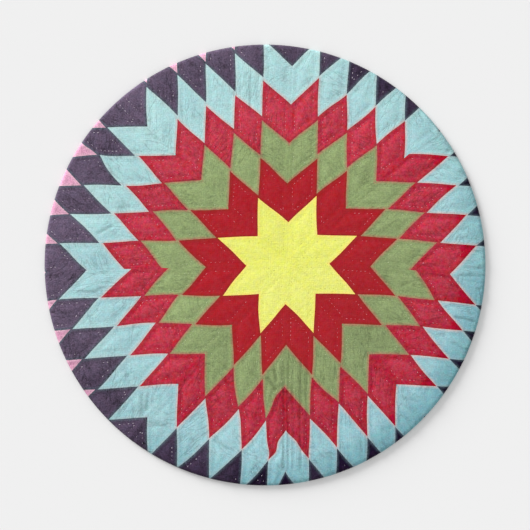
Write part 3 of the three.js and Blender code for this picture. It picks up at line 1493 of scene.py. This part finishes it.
@dataclass
class PatchworkQuilt:
    """The quilt itself: pieced top, thin batting and plain backing in one closed mesh.

    Attributes:
        layout: Where the diamonds lie.
        grid: Grid steps along one diamond's side on the top.
        relief: Inset from the seam to the height of the top above the floor.
        loft: How much of its relief a cotton keeps, where that isn't all.
        slope_width: How far in from the rim the top starts to sink.
        slope_drop: How far it has sunk at the rim.
        roll_width: How far in from the rim the top starts to roll down.
        fold_height: Height of the rim's fold above the floor.
        under_rings: Inset from the rim to the height of each turn under the rim.
        back_inset: How far in from the rim the backing lies on the floor.
        dimple: How far the quilting draws the backing up.
        quilting_inset: How far inside the seams the quilting runs.
        rim_shade_reach: How far in from the rim painted shade darkens the cloth.
        rim_shade_way: Where the painted rim shade is darkest, in degrees round from +X, away from the key
            light.
        rim_shade_lean: How much darker it is there than a quarter turn away.
        seed: Seed of what differs from patch to patch.
    """

    layout: StarLayout
    grid: int = 24
    relief: dict[float, float] = field(
        default_factory=lambda: {
            0.0: 6.0,
            1.6: 6.2,
            QUILTING_INSET: 5.85,
            11.0: 6.45,
            15.5: 6.75,
            19.1: 6.8,
        }
    )
    loft: dict[Fabric, float] = field(
        default_factory=lambda: {
            Fabric.YELLOW: 0.3,
            Fabric.DEEP_RED: 0.5,
            Fabric.SAGE: 0.65,
            Fabric.AQUA: 0.6,
        }
    )
    slope_width: float = 38.0
    slope_drop: float = 1.7
    roll_width: float = 2.4
    fold_height: float = 1.6
    under_rings: dict[float, float] = field(default_factory=lambda: {0.5: 0.9, 1.8: 0.25})
    back_inset: float = 4.0
    dimple: float = 0.9
    quilting_inset: float = QUILTING_INSET
    rim_shade_reach: float = 34.0
    rim_shade_way: float = -45.0
    rim_shade_lean: float = 0.61
    seed: int = 7

    # Grid lines of one diamond on the backing, closer beside the seams
    BACK_STEPS = (0.0, 1 / 12, 1 / 6, 1 / 3, 1 / 2, 2 / 3, 5 / 6, 11 / 12)
    # Width of the batting's lumps to their height, what the quilting leaves of them, and
    # how far from it they are free
    LUMPS = {24.0: 0.34, 9.0: 0.17}
    HELD_LUMPS = 0.35
    FREE_WIDTH = 6.0
    # How fast the slope and the painted rim shade fall off from the rim
    SLOPE_FALL = 1.7
    RIM_SHADE_FALL = 0.6
    # Width of the dimples in the backing, and how far in from its rim they are full
    DIMPLE_WIDTH = 2.2
    DIMPLE_FROM_RIM = 20.0
    # How far the pleats reach past the gathers, and over what lengths they die out
    PLEAT_REACH = 8.0
    PLEAT_SIDE = 12.0
    PLEAT_TOP = 25.0
    PLEAT_FOOT = 20.0
    # How far the weave is shifted from patch to patch, at most
    WEAVE_SHIFT = 900.0

    def build(self) -> bpy.types.Object:
        """Builds the closed quilt and dresses each patch in its cotton.

        Returns:
            The quilt's object.
        """
        draw = np.random.default_rng(self.seed)
        self._tones = {patch: draw.normal(0, 1) for patch in self.layout.patches()}
        self._shifts = {patch: draw.uniform(0, self.WEAVE_SHIFT, 2) for patch in self.layout.patches()}
        steps = tuple(np.arange(self.grid) / self.grid)
        top = PiecedSheet(self.layout, steps, self.layout.radius)
        back = PiecedSheet(self.layout, self.BACK_STEPS, self.layout.radius - self.back_inset)
        self._start_mesh()
        self._add_top(top)
        under = self._add_rim(top)
        self._add_back(back, under)
        return self._finish_mesh()

    def _start_mesh(self) -> None:
        """Clears the lists that the mesh is gathered in."""
        self._points: list[tuple[float, float, float]] = []
        self._pressed: list[float] = []
        self._faces: list[list[int]] = []
        self._fabrics: list[int] = []
        self._face_tones: list[float] = []
        self._patch_map: list[tuple[float, float]] = []
        self._seam_map: list[tuple[float, float]] = []
        self._weave_map: list[tuple[float, float]] = []

    def _add_patchwork(self, vertices: list[int], cell: list[Corner], patch: Patch) -> None:
        """Adds one polygon of a diamond.

        Args:
            vertices: The polygon's vertices.
            cell: Where each of them lies on the diamond.
            patch: The diamond. Its own sides count as seams on the seam map, but for
                those on a join or a neck, where the next diamond has the same cotton.
        """
        self._faces.append(vertices)
        self._fabrics.append(patch.fabric.value)
        self._face_tones.append(self._tones[patch])
        for corner in cell:
            u, v = corner.run - patch.row, corner.aside - patch.strip
            self._patch_map.append((u, v))
            out = u if patch.row else max(u, PATCH_MIDDLE)
            across = PATCH_MIDDLE if corner.necked else v
            self._seam_map.append((out, across if patch.strip else max(across, PATCH_MIDDLE)))
            self._weave_map.append(self._weave(patch, corner))

    def _weave(self, patch: Patch, corner: Corner) -> tuple[float, float]:
        """Gives a corner's place along the two threads of its patch.

        Args:
            patch: The patch.
            corner: The corner.

        Returns:
            How far along each thread it lies.
        """
        lean = math.cos(math.pi / 4)
        shift = self._shifts[patch]
        side = self.layout.side
        along = side * (corner.run + lean * corner.aside)
        return (along + shift[0], side * lean * corner.aside + shift[1])

    def _top_heights(self, sheet: PiecedSheet) -> tuple[np.ndarray, np.ndarray]:
        """Works out how high the top stands, and where it is creased.

        Args:
            sheet: The pieced top.

        Returns:
            The heights, and the press of the creases from 0 to 1.
        """
        x, y, inset = np.array(sheet.spots).T
        height = np.zeros(len(x))
        keys = list(self.relief)
        for low, high in zip(keys, keys[1:]):
            share = smooth_step(low, high, inset)
            here = (inset >= low) & (inset <= high)
            height[here] = (self.relief[low] + (self.relief[high] - self.relief[low]) * share)[here]
        free = smooth_step(self.quilting_inset, self.quilting_inset + self.FREE_WIDTH, inset)
        for size, depth in self.LUMPS.items():
            lumps = [noise.noise(Vector((px / size, py / size, size))) for px, py in zip(x, y)]
            height += depth * np.array(lumps) * (self.HELD_LUMPS + (1 - self.HELD_LUMPS) * free)
        seam = self.relief[keys[0]]
        height = seam + (height - seam) * self._lofts(sheet)
        pressed = np.zeros(len(x))
        for crease in self._all_creases():
            press = crease.press(x, y)
            height -= crease.depth * press
            pressed = np.maximum(pressed, min(1.0, crease.depth) * press)
        inside = self.layout.radius - np.hypot(x, y)
        height -= self.slope_drop * np.clip(1 - inside / self.slope_width, 0, 1) ** self.SLOPE_FALL
        out = np.clip(1 - inside / self.roll_width, 0, 1)
        rolled = self.fold_height + (height - self.fold_height) * np.sqrt(1 - out**2)
        return rolled, pressed

    def _lofts(self, sheet: PiecedSheet) -> np.ndarray:
        """Gives how much of its relief each vertex of the top keeps, by its cotton.

        Args:
            sheet: The pieced top.

        Returns:
            The shares, from 0 to 1.
        """
        found = np.ones(len(sheet.spots))
        for cell, patch in zip(sheet.corners, sheet.patches):
            if patch.fabric in self.loft:
                found[[corner.vertex for corner in cell]] = self.loft[patch.fabric]
        return found

    def _all_creases(self) -> list[Crease]:
        """Lists the creases and the gathers together."""
        gathers = [Crease((x, GATHER_TOP), (x, GATHER_FOOT), depth) for x, depth in GATHERS.items()]
        return [*CREASES, *gathers]

    def _add_top(self, sheet: PiecedSheet) -> None:
        """Adds the top.

        Args:
            sheet: The pieced top.
        """
        heights, pressed = self._top_heights(sheet)
        self._points.extend((x, y, height) for (x, y, _), height in zip(sheet.spots, heights))
        self._pressed.extend(pressed)
        for cell, patch in zip(sheet.corners, sheet.patches):
            self._add_patchwork([corner.vertex for corner in cell], cell, patch)

    def _add_rim(self, sheet: PiecedSheet) -> list[int]:
        """Turns the top under along the rim.

        Args:
            sheet: The pieced top.

        Returns:
            The innermost vertices of the turn, by angle.
        """
        upper = list(sheet.rim)
        for inset, height in self.under_rings.items():
            first = len(self._points)
            share = 1 - inset / self.layout.radius
            for vertex in sheet.rim:
                x, y, _ = sheet.spots[vertex]
                self._points.append((x * share, y * share, height))
                self._pressed.append(0.0)
            lower = list(range(first, len(self._points)))
            for at, vertex in enumerate(sheet.rim):
                after = (at + 1) % len(lower)
                start, end, patch = sheet.rim_corners[vertex]
                quad = [lower[at], lower[after], upper[after], upper[at]]
                self._add_patchwork(quad, [start, end, end, start], patch)
            upper = lower
        return upper

    def _add_back(self, sheet: PiecedSheet, under: list[int]) -> None:
        """Adds the backing, and closes it to the turned rim.

        Args:
            sheet: The backing's polygons.
            under: The innermost vertices of the turned rim, by angle.
        """
        first = len(self._points)
        spots = np.array(sheet.spots)
        x, y, inset = spots.T
        drawn = np.exp(-(((inset - self.quilting_inset) / self.DIMPLE_WIDTH) ** 2))
        inside = self.layout.radius - self.back_inset - np.hypot(x, y)
        lying = smooth_step(0, self.DIMPLE_FROM_RIM, inside)
        self._points.extend(zip(x, y, self.dimple * drawn * lying))
        self._pressed.extend([0.0] * len(spots))
        for cell in sheet.corners:
            vertices = [first + corner.vertex for corner in reversed(cell)]
            self._add_muslin(vertices)
        inner = [first + vertex for vertex in sheet.rim]
        for triangle in self._zipped(under, inner):
            self._add_muslin(triangle[::-1])

    def _add_muslin(self, vertices: list[int]) -> None:
        """Adds one polygon of the backing, which is a single plain piece.

        Args:
            vertices: The polygon's vertices.
        """
        self._faces.append(vertices)
        self._fabrics.append(Fabric.MUSLIN.value)
        self._face_tones.append(0.0)
        for plain in (self._patch_map, self._seam_map):
            plain.extend([(PATCH_MIDDLE, PATCH_MIDDLE)] * len(vertices))
        self._weave_map.extend(self._points[vertex][:2] for vertex in vertices)

    def _zipped(self, outer: list[int], inner: list[int]) -> list[list[int]]:
        """Fills the ring between two loops of vertices with triangles.

        Args:
            outer: The outer loop, by angle.
            inner: The inner loop, by angle.

        Returns:
            The triangles, counter-clockwise from above.
        """
        turns = {v: math.atan2(self._points[v][1], self._points[v][0]) for v in (*outer, *inner)}
        triangles = []
        i = j = 0
        while i < len(outer) or j < len(inner):
            this_outer, this_inner = outer[i % len(outer)], inner[j % len(inner)]
            next_outer, next_inner = outer[(i + 1) % len(outer)], inner[(j + 1) % len(inner)]
            outer_turn = turns[next_outer] + math.tau * ((i + 1) // len(outer))
            inner_turn = turns[next_inner] + math.tau * ((j + 1) // len(inner))
            if j >= len(inner) or (i < len(outer) and outer_turn <= inner_turn):
                triangles.append([this_inner, this_outer, next_outer])
                i += 1
            else:
                triangles.append([this_inner, this_outer, next_inner])
                j += 1
        return triangles

    def _painted_rim_shade(self) -> np.ndarray:
        """Gives how far painted shade darkens each vertex near the rim.

        Returns:
            The painted shade, from 0 to 1 at the rim.
        """
        x, y, _ = np.array(self._points).T
        close = np.clip(1 - (self.layout.radius - np.hypot(x, y)) / self.rim_shade_reach, 0, 1)
        facing = np.cos(np.arctan2(y, x) - math.radians(self.rim_shade_way))
        return close**self.RIM_SHADE_FALL * np.clip(1 + self.rim_shade_lean * (facing - 1), 0, 1)

    def _gathered(self) -> np.ndarray:
        """Gives how closely the gathers pleat the cloth at each vertex.

        Returns:
            The pleating, from 0 to 1.
        """
        x, y, _ = np.array(self._points).T
        left = smooth_step(0, self.PLEAT_SIDE, x - min(GATHERS) + self.PLEAT_REACH)
        right = smooth_step(0, self.PLEAT_SIDE, max(GATHERS) + self.PLEAT_REACH - x)
        below = smooth_step(0, self.PLEAT_TOP, GATHER_TOP + self.PLEAT_REACH - y)
        above = smooth_step(0, self.PLEAT_FOOT, y - GATHER_FOOT)
        return left * right * (below * above)

    def _finish_mesh(self) -> bpy.types.Object:
        """Makes the mesh from the lists, with its maps and materials.

        Returns:
            The quilt's object.
        """
        mesh = bpy.data.meshes.new("patchwork_quilt")
        mesh.from_pydata([tuple(c * MM for c in point) for point in self._points], [], self._faces)
        for fabric in Fabric:
            mesh.materials.append(COTTONS[fabric].material())
        mesh.polygons.foreach_set("material_index", self._fabrics)
        mesh.polygons.foreach_set("use_smooth", [True] * len(self._faces))
        maps = {"patch": self._patch_map, "seam": self._seam_map, "weave": self._weave_map}
        for name, values in maps.items():
            mesh.uv_layers.new(name=name).uv.foreach_set("vector", np.array(values, np.float32).ravel())
        for name, domain, values in (
            ("tone", "FACE", self._face_tones),
            ("crease", "POINT", self._pressed),
            ("gather", "POINT", self._gathered()),
            # Painted shade towards the rim, darkest away from the key light
            ("soil", "POINT", self._painted_rim_shade()),
        ):
            mesh.attributes.new(name, "FLOAT", domain).data.foreach_set("value", np.array(values, np.float32))
        threads = np.array([linear(COTTONS[fabric].thread) for fabric in Fabric], np.float32)
        taken_up = mesh.attributes.new("thread", "FLOAT_COLOR", "FACE")
        taken_up.data.foreach_set("color", threads[self._fabrics].ravel())
        mesh.update()
        return add_object("patchwork_quilt", mesh)


# Quilting


@dataclass
class QuiltingStitches:
    """Running stitches of the outline quilting, laid on one face of the quilt.

    Attributes:
        layout: Where the diamonds lie.
        face: The face that the stitches lie on.
        pitch: From one stitch to the next.
        length: Length of a stitch between its two holes.
        thread: Thickness of the thread, drawn coarse so that it shows.
        inset: How far inside the seams the quilting runs.
        corner_gap: How far the stitches stay from the corners of the outline.
        rim_gap: How far the stitches stay from the quilt's rim.
        uneven: Share by which a hand-made stitch is larger or smaller.
        hidden: Share of the stitches that have sunk out of sight.
        seed: Seed of the unevenness.
    """

    layout: StarLayout
    face: Face
    pitch: float = 4.9
    length: float = 1.55
    thread: float = 0.42
    inset: float = QUILTING_INSET
    corner_gap: float = 4.0
    rim_gap: float = 6.0
    uneven: float = 0.4
    hidden: float = 0.42
    seed: int = 11

    # Points of a quilting line along one side of a diamond
    PATH_STEPS = 12
    # Length of the stretches where more or fewer stitches have sunk, and by what share
    STRETCH = 34.0
    STRETCH_RANGE = (0.35, 0.65)
    STRETCH_SHARE = 0.5
    # How far the ends of a stitch are sunk, against the thread's thickness
    SUNK = 0.45
    ARCH_STEPS = 4
    THREAD_SIDES = 5
    # How far outside the cloth it is looked for from, and over what length, in metres
    RAY_START = 0.05
    RAY_LENGTH = 0.1

    def build(self, quilt: bpy.types.Object, finish: bpy.types.Material) -> bpy.types.Object:
        """Lays stitches along the quilting lines.

        Args:
            quilt: The quilt that they lie on.
            finish: The thread's material.

        Returns:
            The stitches as one plain mesh.
        """
        name = f"quilting_stitches_{self.face.name.lower()}"
        paths = add_object(f"{name}_paths", self._paths(name))
        tree = self._tree(name, quilt, finish)
        modifier = paths.modifiers.new("stitches", "NODES")
        modifier.node_group = tree
        sizes = {"Pitch": self.pitch * MM, "Length": self.length * MM, "Thread": self.thread * MM}
        sizes |= {"Uneven": self.uneven, "Hidden": self.hidden, "Seed": self.seed}
        for item in tree.interface.items_tree:
            if item.item_type == "SOCKET" and item.in_out == "INPUT" and item.name in sizes:
                modifier[item.identifier] = sizes[item.name]
        evaluated = paths.evaluated_get(bpy.context.evaluated_depsgraph_get())
        mesh = bpy.data.meshes.new_from_object(evaluated)
        mesh.name = name
        stitches = add_object(name, mesh)
        paths.modifiers.remove(modifier)
        bpy.data.objects.remove(paths)
        return stitches

    def _paths(self, name: str) -> bpy.types.Mesh:
        """Draws the quilting lines as open chains of edges at floor height.

        Args:
            name: The stitches' name.

        Returns:
            The lines, without faces.
        """
        share = self.inset / self.layout.strip_width
        gap = share + self.corner_gap / self.layout.side
        run = np.linspace(gap, 1 - gap, self.PATH_STEPS)
        low, high = np.full_like(run, share), np.full_like(run, 1 - share)
        most = (self.layout.radius - self.rim_gap) * MM
        vertices: list[tuple[float, float, float]] = []
        edges: list[tuple[int, int]] = []
        for point, row, strip in self.layout.patches():
            for u, v in ((run, low), (high, run), (run[::-1], high), (low, run[::-1])):
                moved = self.layout.slipped(point, strip, row + u, strip + v)
                spots = self.layout.place(point, *moved) * MM
                inside = np.hypot(spots[:, 0], spots[:, 1]) < most
                first = len(vertices)
                vertices.extend((x, y, 0.0) for x, y in spots)
                kept = np.flatnonzero(inside[:-1] & inside[1:]).tolist()
                edges.extend((first + at, first + at + 1) for at in kept)
        mesh = bpy.data.meshes.new(f"{name}_paths")
        mesh.from_pydata(vertices, edges, [])
        return mesh

    def _tree(self, name: str, quilt: bpy.types.Object, finish: bpy.types.Material) -> Tree:
        """Builds the node tree that turns quilting lines into stitches.

        Args:
            name: The tree's name.
            quilt: The quilt that the stitches are laid on.
            finish: The thread's material.

        Returns:
            The tree, with its sizes as named inputs.
        """
        tree = bpy.data.node_groups.new(name, "GeometryNodeTree")
        tree.interface.new_socket("Geometry", in_out="INPUT", socket_type="NodeSocketGeometry")
        for size in ("Pitch", "Length", "Thread", "Uneven", "Hidden"):
            tree.interface.new_socket(size, in_out="INPUT", socket_type="NodeSocketFloat")
        tree.interface.new_socket("Seed", in_out="INPUT", socket_type="NodeSocketInt")
        tree.interface.new_socket("Geometry", in_out="OUTPUT", socket_type="NodeSocketGeometry")
        given = add_node(tree, "NodeGroupInput").outputs
        lines = add_node(tree, "GeometryNodeMeshToCurve", {"Mesh": given["Geometry"]})
        spacing = {"Curve": lines, "Length": given["Pitch"]}
        spaced = add_node(tree, "GeometryNodeResampleCurve", spacing, mode="LENGTH")
        tangent = add_node(tree, "GeometryNodeInputTangent").outputs[0]
        marked = add_node(tree, "GeometryNodeCaptureAttribute", {"Geometry": spaced})
        marked.capture_items.new("VECTOR", "tangent")
        tree.links.new(tangent, marked.inputs[1])
        points = add_node(tree, "GeometryNodeCurveToPoints", {"Curve": marked}, mode="EVALUATED")
        laid, normal = self._laid(tree, points.outputs[0], quilt)
        axes = {"Primary Axis": normal, "Secondary Axis": marked.outputs[1]}
        turned = add_node(tree, "FunctionNodeAxesToRotation", axes, primary_axis="Z", secondary_axis="X")
        shortest, longest = (
            add_node(tree, "ShaderNodeMath", {0: 1.0, 1: given["Uneven"]}, operation=way)
            for way in ("SUBTRACT", "ADD")
        )
        sizes = {2: shortest, 3: longest, "Seed": given["Seed"]}
        sized = add_node(tree, "FunctionNodeRandomValue", sizes, data_type="FLOAT")
        sewn = add_node(
            tree,
            "GeometryNodeInstanceOnPoints",
            {
                "Points": laid,
                "Selection": self._shown(tree, given),
                "Instance": self._stitch(tree, given),
                "Rotation": turned,
                "Scale": sized.outputs[1],
            },
        )
        real = add_node(tree, "GeometryNodeRealizeInstances", {0: sewn})
        dressed = add_node(tree, "GeometryNodeSetMaterial", {"Geometry": real, "Material": finish})
        add_node(tree, "NodeGroupOutput", {"Geometry": dressed})
        return tree

    def _laid(self, tree: Tree, points: Socket, quilt: bpy.types.Object) -> tuple[Socket, Socket]:
        """Lays points on the quilt's face, and stores the colour that thread takes up there.

        Args:
            tree: The tree that takes the nodes.
            points: The points, at floor height.
            quilt: The quilt.

        Returns:
            The points on the face, and the face's direction there.
        """
        cloth = add_node(tree, "GeometryNodeObjectInfo", {"Object": quilt}).outputs["Geometry"]
        here = add_node(tree, "GeometryNodeInputPosition")
        lift = {0: here, 1: (0.0, 0.0, self.RAY_START * self.face.value)}
        outside = add_node(tree, "ShaderNodeVectorMath", lift, operation="ADD")
        dye = add_node(tree, "GeometryNodeInputNamedAttribute", {"Name": "thread"}, data_type="FLOAT_COLOR")
        ray = add_node(
            tree,
            "GeometryNodeRaycast",
            {
                "Target Geometry": cloth,
                "Attribute": dye.outputs["Attribute"],
                "Source Position": outside,
                "Ray Direction": (0.0, 0.0, -float(self.face.value)),
                "Ray Length": self.RAY_LENGTH,
            },
            data_type="FLOAT_COLOR",
        )
        stored = {"Geometry": points, "Name": "thread", "Value": ray.outputs["Attribute"]}
        dyed = add_node(tree, "GeometryNodeStoreNamedAttribute", stored, data_type="FLOAT_COLOR")
        marked = add_node(tree, "GeometryNodeCaptureAttribute", {"Geometry": dyed})
        marked.capture_items.new("VECTOR", "normal")
        tree.links.new(ray.outputs["Hit Normal"], marked.inputs[1])
        place = {"Geometry": marked, "Position": ray.outputs["Hit Position"]}
        moved = add_node(tree, "GeometryNodeSetPosition", place)
        return moved.outputs[0], marked.outputs[1]

    def _shown(self, tree: Tree, given: bpy.types.bpy_prop_collection) -> Socket:
        """Picks the stitches that show: by luck, and more in some stretches than in others.

        Args:
            tree: The tree that takes the nodes.
            given: The tree's inputs.

        Returns:
            Whether a stitch shows.
        """
        other = add_node(tree, "FunctionNodeIntegerMath", {0: given["Seed"], 1: 1}, operation="ADD")
        luck = add_node(tree, "FunctionNodeRandomValue", {"Seed": other}, data_type="FLOAT").outputs[1]
        here = add_node(tree, "GeometryNodeInputPosition")
        look = {"Vector": here, "Scale": 1 / (self.STRETCH * MM), "Detail": 1.0}
        stretch = add_node(tree, "ShaderNodeTexNoise", look)
        low, high = self.STRETCH_RANGE
        spread = {0: stretch, 1: low, 2: high, 3: -self.STRETCH_SHARE, 4: self.STRETCH_SHARE}
        held = add_node(tree, "ShaderNodeMapRange", spread)
        total = add_node(tree, "ShaderNodeMath", {0: luck, 1: held}, operation="ADD")
        sides = {0: total, 1: given["Hidden"]}
        return add_node(tree, "FunctionNodeCompare", sides, operation="GREATER_THAN").outputs[0]

    def _stitch(self, tree: Tree, given: bpy.types.bpy_prop_collection) -> Socket:
        """Makes one stitch: a short thread that arches out of the cloth and back in.

        Args:
            tree: The tree that takes the nodes.
            given: The tree's inputs.

        Returns:
            The stitch, along the X axis.
        """
        half, back, sunk, thick = (
            add_node(tree, "ShaderNodeMath", {0: given[size], 1: share}, operation="MULTIPLY")
            for size, share in (("Length", 0.5), ("Length", -0.5), ("Thread", -self.SUNK), ("Thread", 0.5))
        )
        start, end = (add_node(tree, "ShaderNodeCombineXYZ", {0: x, 2: sunk}) for x in (back, half))
        top = add_node(tree, "ShaderNodeCombineXYZ", {2: given["Thread"]})
        bow = {"Resolution": self.ARCH_STEPS, "Start": start, "Middle": top, "End": end}
        arch = add_node(tree, "GeometryNodeCurveQuadraticBezier", bow)
        ring = {"Resolution": self.THREAD_SIDES, "Radius": thick}
        section = add_node(tree, "GeometryNodeCurvePrimitiveCircle", ring)
        swept = {"Curve": arch, "Profile Curve": section, "Fill Caps": True}
        made = add_node(tree, "GeometryNodeCurveToMesh", swept)
        return add_node(tree, "GeometryNodeSetShadeSmooth", {0: made}).outputs[0]


# Studio


@dataclass
class Studio:
    """A pale floor under even soft light, with a low key from the upper left, seen from above.

    Attributes:
        seen_width: Width of the floor that the camera sees, in metres.
        lens: Focal length of the camera.
        sensor: Width of the camera's sensor.
        floor_size: Side of the floor, in metres.
        floor_drop: How far the floor lies below the backing, clear of its stitches.
        paper: Colour of the floor.
        key_elevation: Height of the key light over the floor, in degrees.
        key_azimuth: Where the key light stands, in degrees round from +X.
        key_strength: Strength of the key.
        key_spread: How wide the key is, in degrees, for soft shadows.
        sky_strength: Strength of the even light from all round.
    """

    seen_width: float = 0.7075
    lens: float = 100.0
    sensor: float = 36.0
    floor_size: float = 60.0
    floor_drop: float = 0.5
    paper: str = "#E5E5E5"
    key_elevation: float = 14.9
    key_azimuth: float = 135.0
    key_strength: float = 4.95
    key_spread: float = 26.0
    sky_strength: float = 0.705

    PAPER_ROUGHNESS = 0.9
    PAPER_SPECULAR = 0.1

    def build(self, top: float) -> None:
        """Makes the floor, the light and the camera.

        Args:
            top: Height of the quilt's top, in metres.
        """
        self._floor()
        self._light()
        self._camera(top)
        bpy.context.scene.view_settings.view_transform = "Standard"

    def _floor(self) -> None:
        """Makes the floor: pale matt studio paper."""
        half = self.floor_size / 2
        mesh = bpy.data.meshes.new("studio_floor")
        corners = [(-half, -half), (half, -half), (half, half), (-half, half)]
        mesh.from_pydata([(x, y, -self.floor_drop * MM) for x, y in corners], [], [(0, 1, 2, 3)])
        paper = bpy.data.materials.new("matt_studio_paper")
        paper.use_nodes = True
        shader = paper.node_tree.nodes["Principled BSDF"]
        shader.inputs["Base Color"].default_value = linear(self.paper)
        shader.inputs["Roughness"].default_value = self.PAPER_ROUGHNESS
        shader.inputs["Specular IOR Level"].default_value = self.PAPER_SPECULAR
        mesh.materials.append(paper)
        add_object("studio_floor", mesh)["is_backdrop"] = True

    def _light(self) -> None:
        """Makes the even light from all round and the soft key from the upper left."""
        world = bpy.data.worlds.new("soft_studio")
        world.use_nodes = True
        sky = world.node_tree.nodes["Background"]
        sky.inputs["Color"].default_value = (1.0, 1.0, 1.0, 1.0)
        sky.inputs["Strength"].default_value = self.sky_strength
        bpy.context.scene.world = world
        key = bpy.data.lights.new("soft_key", "SUN")
        key.energy = self.key_strength
        key.angle = math.radians(self.key_spread)
        lamp = add_object("soft_key", key)
        rise, turn = math.radians(self.key_elevation), math.radians(self.key_azimuth)
        towards = Vector((math.cos(rise) * math.cos(turn), math.cos(rise) * math.sin(turn), math.sin(rise)))
        lamp.rotation_euler = towards.to_track_quat("Z", "Y").to_euler()

    def _camera(self, top: float) -> None:
        """Hangs the camera straight above the quilt, with +Y up in the picture.

        Args:
            top: Height of the quilt's top, in metres.
        """
        data = bpy.data.cameras.new("camera")
        data.lens = self.lens
        data.sensor_width = self.sensor
        camera = add_object("camera", data)
        camera.location = (0.0, 0.0, top + self.seen_width * self.lens / self.sensor)
        bpy.context.scene.camera = camera


def main() -> None:
    """Builds the quilt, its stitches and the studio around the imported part."""
    logging.basicConfig(level=logging.INFO, format="%(name)s: %(message)s")
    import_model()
    cad_box = [list(corner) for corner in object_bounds()]
    radius = (cad_box[1][0] - cad_box[0][0]) / 2 / MM
    layout = StarLayout(radius=radius)
    Studio().build(cad_box[1][2])
    quilt = PatchworkQuilt(layout).build()
    thread = ThreadFinish().material()
    stitches = [QuiltingStitches(layout, face).build(quilt, thread) for face in Face]
    for piece in (quilt, *stitches):
        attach(piece, "root")
        LOG.info("%s has %d polygons", piece.name, len(piece.data.polygons))
    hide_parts("quilt")


if __name__ == "__main__":
    main()
